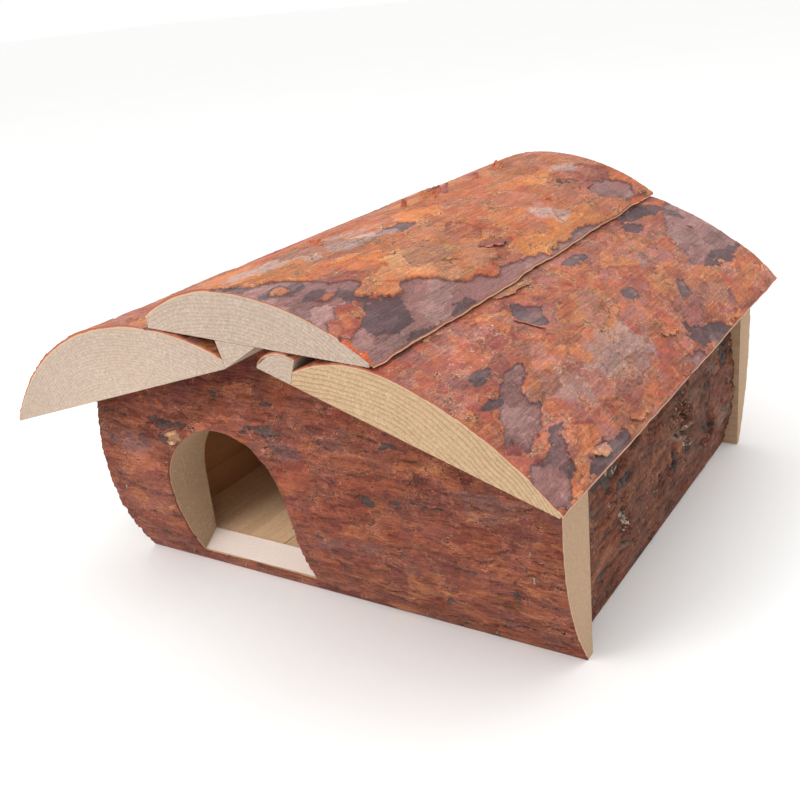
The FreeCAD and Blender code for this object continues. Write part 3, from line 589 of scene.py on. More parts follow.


# %% Bark materials
# `shadow` is the colour of painted shade and of dark specks; `papery` colours the pale flake rims, partly the
# thin bark's own paler colour and partly painted highlight
def bark_finish(name, grain, flake_mm, stretch, red_layers, yellow_layers, shadow, papery, bloom, glow, veil,
                cut, scuff, sheen):
    """Bark: layer colours by the mesh's landscape, streaks along `grain`, bloom, specks and painted shade in
    recesses.

    Between the large patches the colour changes from flake to flake, in ragged cells about `flake_mm` wide
    that are `stretch` times as long, each with chips less than half its size in it.
    """
    material, wire, place, shader = new_finish(name)

    def field(title):
        return wire.node("ShaderNodeAttribute", {"attribute_name": title}, output="Fac")

    def scaled(along, across):
        return place.times(*np.where(grain, along, across).tolist())

    streak = scaled(26, 520).noise(1.0, 5.0, 0.65)
    fine = scaled(190, 1700).noise(1.0, 3.0, 0.6)
    speck = place.noise(850, 3.0, 0.8)
    blotch = place.noise(65, 5.0, 0.65)
    cloud = place.noise(34, 5.0, 0.65)
    soft = place.noise(17, 3.0).step(0.44, 0.60)
    ragged = (place.noise(420, 3.0, 0.6) - 0.5) * 0.05
    edge = field("layers_left") + ragged + (place.noise(120, 5.0, 0.7) - 0.5) * 0.25 * soft
    flakes = scaled(1 / stretch, 1.0).shifted(70, 0.022).shifted(330, 0.005)
    per_metre = 1 / (flake_mm * MM)
    warm, bright, pink = flakes.cells(per_metre)
    warm_chip, bright_chip, pink_chip = flakes.cells(2.6 * per_metre)
    hue = (field("tone") + (blotch - 0.5) * 0.9 + (streak - 0.5) * 0.6 + (warm - 0.5) * 0.9
           + (warm_chip - 0.5) * 0.55)
    reds, yellows = edge.colours(layer_ramp(red_layers)), edge.colours(layer_ramp(yellow_layers))
    colour = hue.step(0.0, 1.0).mix(reds, yellows)
    upper = edge.step(EDGES[2], EDGES[2] + 0.04)
    bloomed = (cloud + 0.25 * (pink - 0.5) + 0.1 * (pink_chip - 0.5)).step(0.50, 0.58)
    colour = (bloomed * upper * 0.65).mix(colour, paint(*bloom))
    colour = (place.noise(46, 5.0, 0.7).step(0.53, 0.66) * upper * 0.55).mix(colour, paint(*glow))
    # A grey veil of bloom; on the cap's upper left the veil field also carries a painted sheen, a pale band
    # where grazing light reflects
    greyed = (field("veil") - 0.85 * pink - 0.4 * warm_chip).step(-0.25, 0.5)
    colour = (greyed * (0.5 + 0.6 * blotch)).mix(colour, paint(*veil))
    some = place.noise(48, 3.0).step(0.42, 0.62)
    # Along flake edges: `below` is a dark line of painted shadow just under an edge, `above` a pale line on
    # it, partly paler papery bark and partly painted highlight
    below = edge.colours(edge_ramp(-0.030, -0.004, 0.001, (0.5, 0.9, 0.4, 0.6)))
    above = edge.colours(edge_ramp(-0.001, 0.004, 0.028, (0.3, 0.75, 0.4, 0.5)))
    # Lapped scales: a pale upper rim, partly paler papery bark and partly painted highlight, and painted
    # shadow just past each drop
    part = field("scales").fraction()
    rims = part.colours([(0.0, BLACK), (0.88, BLACK), (0.97, grey(0.55)), (1.0, grey(0.3))])
    painted_gap_shade = part.colours([(0.0, grey(0.7)), (0.03, grey(0.6)), (0.12, BLACK)])
    few = place.noise(62, 3.0).step(0.43, 0.58)
    crease = abs(scaled(0.5, 1.0).shifted(90, 0.006).noise(34, 2.0, 0.5) - 0.5)
    # At cell borders and creases: pale lines, partly painted highlight, and dark lines of painted shade
    border = flakes.cell_borders(per_metre)
    rims = rims + border.step(0.06, 0.03) * 0.45 + crease.step(0.020, 0.008) * 0.25
    painted_gap_shade = painted_gap_shade + border.step(0.026, 0.0) * 0.75 + crease.step(0.007, 0.0) * 0.5
    # Pale rims, partly the thin bark's own colour and partly painted highlight; then painted shadow under
    # edges and in the cracks between flakes
    colour = (above * some + rims * few * upper).mix(colour, paint(*papery))
    colour = (below * (0.25 + 0.75 * some) + painted_gap_shade * few * upper).mix(colour, paint(*shadow))
    light = (1 + 1.2 * (streak - 0.5) + 1.3 * (fine - 0.5) + 1.8 * (speck - 0.5)
             + 0.35 * (cloud - 0.5) + 0.38 * (bright - 0.5) + 0.36 * (bright_chip - 0.5))
    colour = colour.tint(light)
    dark_specks = place.noise(620, 3.0, 0.7).step(0.64, 0.74) * 0.45
    colour = dark_specks.mix(colour, paint(*shadow))
    chalky = place.noise(24, 3.0).step(0.50, 0.64) * scuff + field("scuffed")
    pale = place.noise(300, 4.0, 0.75).step(0.58, 0.70) * chalky
    colour = (pale * upper).mix(colour, paint(*CHALK))
    # Painted shade: recesses of the relief are darkened with the shadow colour
    colour = (field("hollow") * 0.8).mix(colour, paint(*shadow))
    under_bark = (field("depth") + (blotch - 0.5) * 0.6).step(0.40, 0.6)
    section = under_bark.mix(paint(*cut), paint(*INNER_BARK)).tint(0.8 + 0.4 * speck)
    colour = field("sawn").mix(colour, section)
    roughness = 0.42 + 0.36 * speck
    height = streak * 0.9 + fine * 0.6 + speck * 0.5 + blotch * 0.5 + bright * 0.5 + bright_chip * 0.25
    finish_with(shader, colour, roughness, height, 0.85)
    shader.inputs["Specular IOR Level"].default_value = sheen
    return material


ALONG_X, ALONG_Y = np.array([True, False, False]), np.array([False, True, False])
cap_bark = bark_finish(
    "cap_bark_flakes", ALONG_Y, flake_mm=27, stretch=2.4,
    red_layers=[(198, 84, 40), (142, 96, 91), (90, 61, 63), (140, 64, 50), (176, 84, 46), (188, 108, 64)],
    yellow_layers=[(208, 104, 50), (164, 124, 117), (110, 86, 87), (182, 102, 60), (192, 116, 58),
                   (196, 142, 92)],
    shadow=(70, 38, 31), papery=(216, 158, 108), bloom=(172, 106, 84), glow=(196, 104, 48),
    # The cap's veil colour is paler than the roof's, for the painted sheen on its upper left as well as for
    # its greyish bloom
    veil=(180, 150, 142), cut=(176, 92, 58), scuff=0.4, sheen=0.4)
roof_bark = bark_finish(
    "roof_bark_flakes", ALONG_Y, flake_mm=19, stretch=1.6,
    red_layers=[(198, 84, 40), (142, 96, 91), (90, 61, 63), (140, 64, 56), (176, 84, 52), (186, 106, 70)],
    yellow_layers=[(208, 104, 50), (164, 124, 117), (110, 86, 87), (180, 100, 68), (190, 118, 68),
                   (192, 140, 100)],
    shadow=(70, 38, 31), papery=(214, 156, 114), bloom=(160, 104, 98), glow=(192, 102, 54),
    veil=(160, 128, 120), cut=(176, 92, 58), scuff=0.5, sheen=0.4)
front_bark = bark_finish(
    "front_wall_bark_flakes", ALONG_X, flake_mm=18, stretch=1.7,
    red_layers=[(170, 120, 84), (110, 64, 52), (82, 58, 54), (112, 52, 40), (126, 62, 44), (138, 72, 50)],
    yellow_layers=[(206, 164, 122), (120, 76, 62), (94, 76, 70), (132, 74, 53), (146, 82, 56),
                   (164, 102, 66)],
    shadow=(46, 22, 17), papery=(190, 122, 92), bloom=(116, 64, 58), glow=(150, 84, 54),
    veil=(108, 78, 76), cut=(150, 78, 50), scuff=0.25, sheen=0.2)
side_bark = bark_finish(
    "side_wall_bark_flakes", ALONG_Y, flake_mm=20, stretch=1.7,
    red_layers=[(168, 136, 116), (96, 56, 42), (72, 54, 50), (90, 40, 25), (108, 52, 32), (118, 62, 40)],
    yellow_layers=[(206, 188, 172), (104, 70, 54), (82, 66, 60), (106, 56, 34), (124, 68, 40), (138, 86, 58)],
    shadow=(28, 16, 12), papery=(160, 108, 80), bloom=(96, 56, 42), glow=(132, 66, 36),
    veil=(118, 98, 86), cut=(130, 76, 50), scuff=0.6, sheen=0.2)
print("bark finishes:", cap_bark.name, roof_bark.name, front_bark.name, side_bark.name)

# %% [markdown]
# ## Roof bark
#
# The cap carries a large tan sheet that ends in a torn line, with mauve and slate layers bare beyond it.
# The right slab is redder, with a grey heart and slate patches. Sculpting them would take long and couldn't
# be changed later, so they are lists. Each patch has a layer, a tone, a place along the house and across the
# slab, half its length and width, and a turn. A veil is a greyish bloom, and a scuff a chalky rub: each has
# a strength in the place of layer and tone. The first veil on the cap is a painted sheen instead, a pale band
# where grazing light reflects.

# %% Patches on the cap
TORN_FROM, TORN_TO = (-257, 60), (60, 180)   # the torn line, from the front end to the right edge
TORN_BEND = 3.3
FAR_WITHIN = -50   # stands for a place that the torn line doesn't reach
BRICK = 0.66   # between rust and orange, where small flakes come from the noise alone
cap_patches = [
    (ORANGE, 0.45, -20, 115, 900, 150, 0), (TAN, 0.9, -122, 141, 78, 24, 12),
    (RUST, 0.5, -180, 112, 34, 17, 10), (ORANGE, 1.0, 10, 172, 56, 16, 0), (RUST, 0.0, -48, 127, 19, 17, 0),
    (RUST, 0.1, -40, 153, 24, 5, 5), (RUST, 0.1, -55, 168, 20, 8, 0), (SLATE, 0.8, -84, 90, 24, 9, 5),
    (SLATE, 0.4, 62, 181, 40, 6, 0), (MAUVE, 0.4, 174, 159, 36, 18, 10), (RUST, 0.3, 186, 133, 34, 18, 10),
    (INNER, 0.5, 190, 180, 26, 5, 0), (ORANGE, 0.2, 120, 90, 60, 14, 5), (SLATE, 0.5, 140, 130, 16, 6, 20),
]
corner_patches = [
    (SLATE, 0.3, -206, 160, 30, 14, -8), (SLATE, 0.4, -200, 182, 28, 4, 0), (SLATE, 0.4, -142, 181, 18, 6, 0),
    (SLATE, 0.2, -206, 136, 18, 8, 50), (SLATE, 0.5, -238, 102, 22, 9, 5), (SLATE, 0.5, -228, 121, 12, 7, 0),
    (ORANGE, 0.9, -240, 101, 9, 4, 0), (ORANGE, 0.3, -224, 128, 8, 5, 0),
    (RUST, -1.0, -236, 150, 30, 11, -20), (INNER, 0.5, -257, 170, 6, 16, 0), (TAN, 0.7, -180, 138, 24, 12, 0),
    (SLATE, 0.4, -246, 76, 12, 8, 20),
]
# The first veil, a pale band along the cap's upper left, is a painted sheen where grazing light reflects; the
# other three are greyish bloom
cap_veils_and_sheen = [(1.1, -170, 66, 110, 12, 4), (1.6, -128, 85, 56, 10, 6), (0.9, 58, 149, 22, 19, 0),
             (0.9, 176, 112, 32, 10, 0)]
print("patches on the cap:", len(cap_patches) + len(corner_patches))

# %% Patches on the right and left slabs
right_patches = [
    (BRICK, 0.4, -20, 125, 900, 180, 0), (RUST, 0.5, -190, 88, 84, 27, 0), (ORANGE, 1.0, -138, 76, 22, 10, 0),
    (SLATE, 0.6, -208, 103, 13, 5, 0), (MAUVE, 0.3, -212, 133, 52, 15, -28),
    (SLATE, 0.3, -227, 120, 15, 4, 0), (ORANGE, 0.5, -160, 125, 42, 11, -12),
    (ORANGE, 0.5, -198, 172, 36, 17, 0), (SLATE, 0.2, -224, 170, 36, 9, -30),
    (ORANGE, 0.9, -250, 116, 8, 10, 0), (RUST, 0.0, -246, 165, 14, 24, 0),
    (SLATE, 0.4, -106, 86, 17, 15, 0), (SLATE, 0.2, 46, 182, 46, 10, 15), (SLATE, 0.2, 18, 172, 9, 14, 0),
    (MAUVE, 0.2, -12, 187, 24, 7, 0), (MAUVE, 0.4, 186, 114, 56, 32, 0), (MAUVE, 0.4, 208, 88, 34, 16, -10),
    (MAUVE, 0.4, 206, 134, 36, 14, 0), (MAUVE, 0.3, 150, 130, 30, 13, 0), (SLATE, 0.2, 176, 145, 50, 8, 5),
    (SLATE, 0.3, 150, 61, 26, 8, 0), (SLATE, 0.4, 202, 84, 9, 11, 0),
    (SLATE, 0.3, 124, 74, 15, 11, 0), (SLATE, 0.3, 178, 66, 28, 11, 10), (SLATE, 0.6, 10, 69, 20, 7, 0),
    (SLATE, 0.9, 6, 120, 14, 7, 0), (SLATE, 0.9, 70, 144, 16, 7, -25), (ORANGE, 0.2, 160, 172, 74, 18, 0),
    (ORANGE, 0.7, -60, 105, 40, 14, 0), (ORANGE, 0.8, 60, 90, 44, 16, 0), (MAUVE, 0.1, -246, 176, 17, 15, 0),
    (SLATE, 0.1, -178, 186, 36, 9, 0), (ORANGE, 0.7, -207, 176, 17, 9, -40),
]
right_veils = [(1.0, -78, 149, 56, 23, 0), (0.7, -150, 140, 26, 22, 0), (0.8, 78, 104, 30, 9, -20)]
right_scuffs = [(1.0, -176, 82, 50, 20, 0), (0.8, -40, 150, 40, 12, 0), (0.7, 150, 130, 40, 16, 0)]
left_patches = [
    (ORANGE, 0.5, 40, 90, 120, 40, 0), (RUST, 0.3, 60, 20, 60, 12, 0), (MAUVE, 0.5, -164, 58, 42, 15, 16),
    (MAUVE, 0.5, -122, 50, 32, 9, -26), (MAUVE, 0.4, -186, 76, 15, 17, 0), (MAUVE, 0.4, 150, 62, 24, 15, 24),
    (MAUVE, 0.4, 118, 52, 21, 8, -32), (SLATE, 0.4, -46, 44, 26, 7, 18), (SLATE, 0.4, -22, 36, 15, 6, -20),
    (SLATE, 0.4, -206, 104, 24, 11, -20), (SLATE, 0.3, -172, 94, 22, 6, 24),
]
print("patches on the right slab:", len(right_patches), "and the left one:", len(left_patches))


# %% The torn corner of the cap
def beyond_torn_line(u, s):
    """How many millimetres a place lies beyond the torn line s = S1 - (S1 - S0) t^bend.

    (U0, S0) is the line's start, (U1, S1) its end and t the share of its length still to go. Past its end
    nothing is beyond it.
    """
    (u0, s0), (u1, s1) = TORN_FROM, TORN_TO
    to_go = np.clip((u1 - u) / (u1 - u0), 0, 1)
    line = s1 - (s1 - s0) * to_go ** TORN_BEND
    return np.where(u < u1, s - line, FAR_WITHIN)


def bare_corner(u, s, left, tone, seed):
    """Moves the cap's landscape to the mauve layer beyond the torn line, then to the corner's patches."""
    torn = 5 * layered_noise(u / 26, s / 40, seed, octaves=5, gain=0.55)
    bare = ramp(beyond_torn_line(u, s) + torn, -0.8, 1.0)
    grain = layered_noise(u / 30, s / 12, seed + 1)
    left = left + (MAUVE + 0.06 * grain - left) * bare
    tone = tone + (0.45 - tone) * bare
    places = frayed(u, s, (18, 11), (4.0, 3.0), (seed + 2, seed + 3), gain=0.65)
    return lay_patches(left, tone, corner_patches, places, 0.05 * grain, tone_kept=0, within=bare)


# %% Roof bark sheets
ROOF_LAYERS = 0.68   # the share of layers left on the roof, on the whole
PRESSED_FADE = 8   # millimetres over which the bark flattens towards a slab that lies on it
LONGEST_OVERHANG = 5
# Painted shade in recesses: rounds of softening that set their size, and the depth in millimetres at which
# the shade is full
HOLLOW_SHADE_ROUNDS, HOLLOW_SHADE_DEPTH = 6, 0.8


def even_grid(slab, spacing):
    """A grid over a slab's round side, about `spacing` apart, its counts a multiple of the coarse step."""
    length = abs(slab.span[1] - slab.span[0])
    columns = COARSE * round(length / spacing / COARSE)
    rows = COARSE * round(slab.width / spacing / COARSE)
    return np.meshgrid(np.linspace(*slab.span, columns + 1), np.linspace(0, slab.width, rows + 1))


def torn_edge(u, seed, reach):
    """How far bark hangs over a slab's long edge: noise along the edge, never less than a little."""
    hanging = reach * (1 + 0.3 * layered_noise(u / 40, 0 * u + 0.5, seed, octaves=4))
    return np.clip(hanging, 0.5 * reach, LONGEST_OVERHANG)


# Used as painted shade: the bark finish darkens places that lie below their surroundings with its shadow
# colour
def painted_hollow_shade(relief):
    """How far each place lies below the mean of what is around it, from 0 to 1."""
    return np.clip((soften(relief, HOLLOW_SHADE_ROUNDS) - relief) / HOLLOW_SHADE_DEPTH, 0, 1)


def place_bark(piece, node, finish):
    """Gives a bark piece its finish and puts it in the place of the plain bark solid."""
    piece.data.materials.append(finish)
    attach(piece, "root")
    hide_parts(node)


def veil_field(u, s, veils, seed):
    """Bloom and rub on the bark, and on the cap also a painted sheen: each veil's strength inside it, fading
    out past its outline.
    """
    field = np.zeros_like(u)
    fray = 0.3 * layered_noise(u / 24, s / 14, seed, octaves=4)
    for strength, *shape in veils:
        field = np.maximum(field, strength * ramp(1.35 - patch_reach(u, s, *shape) + fray, 0, 0.8))
    return field


def dress_roof(name, seed, flake, spacing, pressed, overhang, patches=(), veils=(), scuffs=()):
    """Bark for one roof slab. Between the two `pressed` places another slab lies on it and keeps it flat."""
    slab = slabs[name]
    u, s = even_grid(slab, spacing)
    low, high = torn_edge(u, seed + 50, overhang[0]), torn_edge(u, seed + 60, overhang[1])
    s = -low + (slab.width + low + high) * s / slab.width
    left, tone, scales = bark_landscape(u, s, seed, flake, patches, ROOF_LAYERS)
    if name == "roof_cap":
        left, tone = bare_corner(u, s, left, tone, seed + 20)
    relief = bark_relief(u, s, left, scales, seed, curl=1.1, wrinkle=0.16, crevice=0.45)
    first, last = pressed
    under = ramp(s, first - PRESSED_FADE, first) * (1 - ramp(s, last, last + PRESSED_FADE))
    relief = relief + (np.minimum(relief, 0) - relief) * under
    fields = {"layers_left": left, "tone": tone, "scales": scales, "hollow": painted_hollow_shade(relief),
              "veil": veil_field(u, s, veils, seed + 12), "scuffed": veil_field(u, s, scuffs, seed + 15)}
    piece = bark_shell(name + "_flaking_bark", slab, u, s, fields, relief)
    place_bark(piece, name + "_bark", cap_bark if name == "roof_cap" else roof_bark)


dress_roof("roof_left", seed=11, flake=(62, 42), spacing=1.25, pressed=(170, 237), overhang=(1.4, 0.3),
           patches=left_patches)
dress_roof("roof_right", seed=12, flake=(58, 36), spacing=1.05, pressed=(0, 52), overhang=(0.3, 1.6),
           patches=right_patches, veils=right_veils, scuffs=right_scuffs)
dress_roof("roof_cap", seed=13, flake=(95, 34), spacing=1.05, pressed=(-30, -20), overhang=(1.4, 4.0),
           patches=cap_patches, veils=cap_veils_and_sheen)
dress_roof("ridge_strip_right", seed=14, flake=(58, 36), spacing=1.5, pressed=(0, 27), overhang=(0, 0))

# %% [markdown]
# ## Loose flakes
#
# Here and there a flake holds on by one edge only and stands off the roof. Such flakes break the straight
# outline of the cap and the eaves. They could be pulled out of the bark sheet, but its grid can't fold back
# over itself. So each is a thin plate of its own, whose fixed edge is sunk in the bark and whose free edge is
# lifted along a parabola.


# %% Flakes that stand off
PLATE_COLUMNS, PLATE_ROWS = 25, 13
PLATE_THICKNESS = 0.3
PLATE_SUNK = 0.5   # how deep the fixed edge lies in the bark


def loose_plate(slab, at_u, at_s, half_u, half_s, turn, lift, seed):
    """Upper and lower grid of a flake, a ragged sheet lifted by lift b^2.

    b goes from 0 at its fixed edge to 1 at its free one, and a from -1 to 1 along these edges.
    """
    turn = math.radians(turn)
    a, b = np.meshgrid(np.linspace(-1, 1, PLATE_COLUMNS), np.linspace(0, 1, PLATE_ROWS))
    ragged = layered_noise(a * 0 + seed, b * 3, seed, octaves=3)
    narrow = np.sqrt(1 - 0.75 * (b - 0.35) ** 2) + 0.22 * ragged
    uneven = b * (1 + 0.4 * layered_noise(a * 1.6, a * 0 + 0.5, seed + 1, octaves=2))
    along, out = half_u * a * narrow, 2 * half_s * uneven
    turned_u = at_u + along * math.cos(turn) - out * math.sin(turn)
    turned_s = at_s + along * math.sin(turn) + out * math.cos(turn)
    rise = lift * b ** 2 * (1 + 0.4 * layered_noise(a * 1.5, b * 1.5, seed + 2)) - PLATE_SUNK
    upper = slab.surface(turned_u, turned_s, rise + PLATE_THICKNESS)
    lower = slab.surface(turned_u, turned_s, rise)
    return upper, lower


def loose_flakes(name, slab, flakes, seed):
    """Many loose plates of one slab as one piece. A flake gives its layer and tone as well as its shape."""
    points, faces, left, tone = [], [], [], []
    for number, (layer, warmth, *shape) in enumerate(flakes):
        upper, lower = loose_plate(slab, *shape, seed + 10 * number)
        # Faces look outward only if the grid runs against the clock as seen from outside
        first = sum(map(len, points))
        top = first + np.arange(upper[..., 0].size).reshape(upper.shape[:2])[:, ::-1]
        bottom = top + upper[..., 0].size
        sides = []
        for row, column in round_border((0, top.shape[0] - 1), (0, top.shape[1] - 1)):
            fine, coarse = top[row, column], bottom[row, column]
            sides.append(np.stack([fine[1:], fine[:-1], coarse[:-1], coarse[1:]], axis=-1))
        faces += [sheet(top).reshape(-1, 4), sheet(bottom).reshape(-1, 4)[:, ::-1], *sides]
        points += [upper.reshape(-1, 3), lower.reshape(-1, 3)]
        left.append(np.full(2 * top.size, layer))
        tone.append(np.full(2 * top.size, warmth))
    faces = np.concatenate(faces)
    fields = {"layers_left": np.concatenate(left), "tone": np.concatenate(tone),
              "scales": 0.5 + 0 * np.concatenate(left)}
    piece = new_piece(name, np.concatenate(points), faces.tolist(), fields, np.ones(len(faces), bool))
    piece.data.materials.append(roof_bark)
    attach(piece, "root")
    print("%-24s %d flakes" % (name, len(flakes)))


# After layer and tone: a place along and across the slab, half the length and width, a turn and the lift
cap_flakes = [
    (ORANGE, 0.5, -26, 61, 3, 2, -85, 6.0), (ORANGE, 0.6, 8, 60, 10, 5, -80, 5.0),
    (RUST, 0.5, 26, 60, 9, 6, -85, 5.5), (ORANGE, 0.4, 134, 62, 6, 4, -80, 5.0),
    (ORANGE, 0.6, -150, 60, 9, 3, -80, 3.5), (RUST, 0.4, 88, 60, 7, 4, -85, 3.5),
    (RUST, 0.2, -44, 150, 15, 3, 8, 1.8), (ORANGE, 0.7, 76, 134, 8, 3, -70, 1.8),
    (RUST, 0.2, 150, 148, 16, 3, 175, 2.0),
]
right_flakes = [
    (TAN, 0.9, -84, 57, 24, 3.5, 6, 1.0), (RUST, 0.3, -118, 92, 11, 1.5, 60, 0.9),
    (ORANGE, 0.7, -6, 158, 12, 3, 15, 1.8), (ORANGE, 0.6, -120, 181, 14, 3, 5, 2.2),
    (RUST, 0.3, -30, 183, 11, 2.5, -10, 2.0), (ORANGE, 0.4, 96, 182, 12, 3, 8, 2.2),
    (TAN, 0.6, 176, 184, 6, 2.5, -8, 2.6), (TAN, 0.8, -185, 178, 10, 3, 12, 1.8),
]
loose_flakes("roof_cap_loose_flakes", slabs["roof_cap"], cap_flakes, seed=300)
loose_flakes("roof_right_loose_flakes", slabs["roof_right"], right_flakes, seed=700)

# %% [markdown]
# ## Wall bark
#
# Lower on the trunk the bark is thicker and browner, in short plates that lie along the grain. The front
# wall's sheet has to leave the arched entrance open. A boolean cut would leave ragged triangles there, so
# the grid itself makes room. Each column has three parts: up to the sill, up to the spring of the arch (or
# the arch itself), and up to the saw line under the roof. Between the jambs the middle part is left out, and
# the columns crowd together there by a cosine, so that the border follows the round arch closely. The side
# walls come from rougher logs, whose knots show as torn swellings with pale and dark spots.

# %% Gable line and entrance
EAVES, RIDGE, PEAK_X, HALF_LENGTH = 153.0, 216.0, 5.0, 200.0
DOOR_X, DOOR_HALF, DOOR_TOP, SILL, SILL_FALL = -73.5, 58.5, 139.0, 26.0, math.radians(35)
SPRING = DOOR_TOP - DOOR_HALF
HALVINGS = 40   # enough for far less than a micrometre


def gable_line(x):
    """Height of the walls' saw line: two straight slopes that meet at the peak."""
    run = np.where(x < PEAK_X, HALF_LENGTH + PEAK_X, HALF_LENGTH - PEAK_X)
    return RIDGE - (RIDGE - EAVES) * np.abs(x - PEAK_X) / run


def sill_line(slab):
    """Height where the sill's slope z = SILL - h(z) tan(fall) comes out of the bark, by repeated halving."""
    low, high = 0.0, SILL
    for _ in range(HALVINGS):
        middle = (low + high) / 2
        if middle < SILL - slab.height(np.array(middle)) * math.tan(SILL_FALL):
            low = middle
        else:
            high = middle
    return low


front = slabs["front_wall"]
sill_front = sill_line(front)
print("sill comes out of the bark %.1f mm above the ground" % sill_front)


# %% Front wall bark
def wall_columns(x, sections, counts):
    """A grid whose column at x goes through the given heights in turn, with a count of rows for each part."""
    parts = [low + (high - low) * np.linspace(0, 1, count, endpoint=False)[:, None]
             for low, high, count in zip(sections[:-1], sections[1:], counts)]
    z = np.concatenate(parts + [sections[-1][None, :]])
    return np.broadcast_to(x, z.shape).copy(), z


LEFT_COLUMNS, DOOR_COLUMNS, RIGHT_COLUMNS = 64, 116, 188
SILL_ROWS, JAMB_ROWS, TOP_ROWS = 12, 56, 104
turn = np.linspace(np.pi, 0, DOOR_COLUMNS + 1)
door_x = DOOR_X + DOOR_HALF * np.cos(turn)
front_x = np.concatenate([np.linspace(-HALF_LENGTH, door_x[0], LEFT_COLUMNS, endpoint=False), door_x,
                          np.linspace(door_x[-1], HALF_LENGTH, RIGHT_COLUMNS + 1)[1:]])
arch = SPRING + np.sqrt(np.clip(DOOR_HALF ** 2 - (front_x - DOOR_X) ** 2, 0, None))
zero = np.zeros_like(front_x)
front_u, front_s = wall_columns(front_x, [zero, zero + sill_front, arch, gable_line(front_x)],
                                (SILL_ROWS, JAMB_ROWS, TOP_ROWS))
door_block = ((SILL_ROWS, SILL_ROWS + JAMB_ROWS), (LEFT_COLUMNS, LEFT_COLUMNS + DOOR_COLUMNS))
front_patches_and_eave_shade = [
    (SLATE, 0.4, -127, 138, 22, 5, 0), (INNER, 0.8, -118, 126, 10, 6, 0), (SLATE, 0.4, -28, 146, 17, 5, 0),
    (SLATE, 0.6, 55, 108, 9, 5, 0), (TAN, 0.9, -165, 62, 32, 14, 0), (ORANGE, 0.8, -160, 100, 24, 9, 0),
    (ORANGE, 0.8, 172, 86, 17, 8, 0), (ORANGE, 0.5, 120, 60, 24, 7, 0), (ORANGE, 0.7, 90, 100, 28, 6, 0),
    # The two deep red-brown RUST patches at the end, along the saw line under the roof, are painted shade
    # where the eaves shadow the wall; the others are the bark's own colour
    (ORANGE, 0.3, -60, 158, 32, 6, 0), (RUST, 0.0, -70, 188, 140, 13, 17), (RUST, 0.0, 70, 190, 90, 8, -18),
]


def knot_relief(u, s, knots, seed):
    """Knots: swellings of height exp(-r^2), torn by coarse noise and hollow inside where that is low."""
    height = np.zeros_like(u)
    torn = layered_noise(u / 11, s / 16, seed, octaves=5, gain=0.62)
    for swelling, *shape in knots:
        reach = patch_reach(u, s, *shape)
        height += swelling * np.exp(-reach ** 2) * (1 + torn)
        height -= 2 * swelling * np.exp(-(reach / 0.5) ** 2) * np.clip(0.3 - torn, 0, 1)
    return height


WALL_LAYERS = 0.72   # the share of layers left on the walls, on the whole
WALL_PLATE = (34, 12)   # the usual length and width of a plate of bark
GROUND_FADE = 3   # millimetres over which the bark flattens towards the ground


def dress_wall(name, seed, u, s, patches, finish, rough, veils=(), knots=(), hole=None):
    """Bark for one wall slab, in short plates along its grain. It ends flat on the ground."""
    left, tone, scales = bark_landscape(u, s, seed, WALL_PLATE, patches, WALL_LAYERS)
    relief = bark_relief(u, s, left, scales, seed, curl=0.7, wrinkle=0.5 * rough, crevice=rough)
    relief = (relief + knot_relief(u, s, knots, seed + 30)) * ramp(s, 0, GROUND_FADE)
    fields = {"layers_left": left, "tone": tone, "scales": scales, "hollow": painted_hollow_shade(relief),
              "veil": veil_field(u, s, veils, seed + 12), "scuffed": veil_field(u, s, knots, seed + 15) / 3}
    piece = bark_shell(name + "_plated_bark", slabs[name], u, s, fields, relief, hole)
    place_bark(piece, name + "_bark", finish)


front_veils = [(0.6, -30, 140, 60, 14, 0), (0.6, 60, 60, 70, 12, 0), (0.6, 150, 120, 50, 14, 0),
               (0.7, -170, 120, 40, 12, 0), (0.5, 40, 150, 60, 10, 0)]
SMOOTH_LOG, ROUGH_LOG = 0.9, 2.0   # depth of the crevices, and twice that of the wrinkles
dress_wall("front_wall", 21, front_u, front_s, front_patches_and_eave_shade, front_bark, SMOOTH_LOG, veils=front_veils,
           hole=door_block)

# %% Back and side wall bark
BACK_COLUMNS, BACK_ROWS = 300, 140
back_x = np.linspace(HALF_LENGTH, -HALF_LENGTH, BACK_COLUMNS + 1)
back_u, back_s = wall_columns(back_x, [0 * back_x, gable_line(back_x)], (BACK_ROWS,))
dress_wall("back_wall", 22, back_u, back_s, [], front_bark, SMOOTH_LOG, veils=front_veils)
side_patches = [
    (SLATE, 0.9, -125, 108, 26, 12, 0), (MAUVE, 0.9, 60, 40, 30, 8, 0), (SLATE, 0.8, 150, 110, 16, 22, 0),
    (INNER, 0.9, 25, 96, 4, 13, 12), (INNER, 0.9, 44, 76, 4, 13, -10), (INNER, 0.8, -108, 68, 4, 10, 12),
    (SLATE, 0.2, 2, 60, 8, 11, 0), (SLATE, 0.2, 34, 56, 6, 12, 15), (SLATE, 0.2, -98, 50, 5, 10, 0),
]
side_veils = [(0.8, 30, 84, 30, 30, 0), (0.7, 95, 100, 40, 24, 10), (0.8, -104, 58, 16, 20, 0),
              (0.6, -60, 14, 90, 9, 0), (0.7, 150, 40, 40, 16, 0)]
side_knots = [(4.5, 30, 84, 22, 28, 0), (4.0, -104, 58, 11, 16, 0), (2.5, 2, 60, 9, 12, 0),
              (3.0, 100, 50, 16, 16, 0)]
SIDE_SPACING = 1.2
# The saw line falls outwards, so the bark ends lower than the wood: at the line's height over `top_x`, where
# the bark's outer face is
for name, seed, top_x in (("left_wall", 23, -185.5), ("right_wall", 24, 173.5)):
    side_u, side_s = even_grid(slabs[name], SIDE_SPACING)
    side_s = side_s * float(gable_line(np.array(top_x))) / slabs[name].width
    dress_wall(name, seed, side_u, side_s, side_patches, side_bark, ROUGH_LOG, veils=side_veils,
               knots=side_knots)

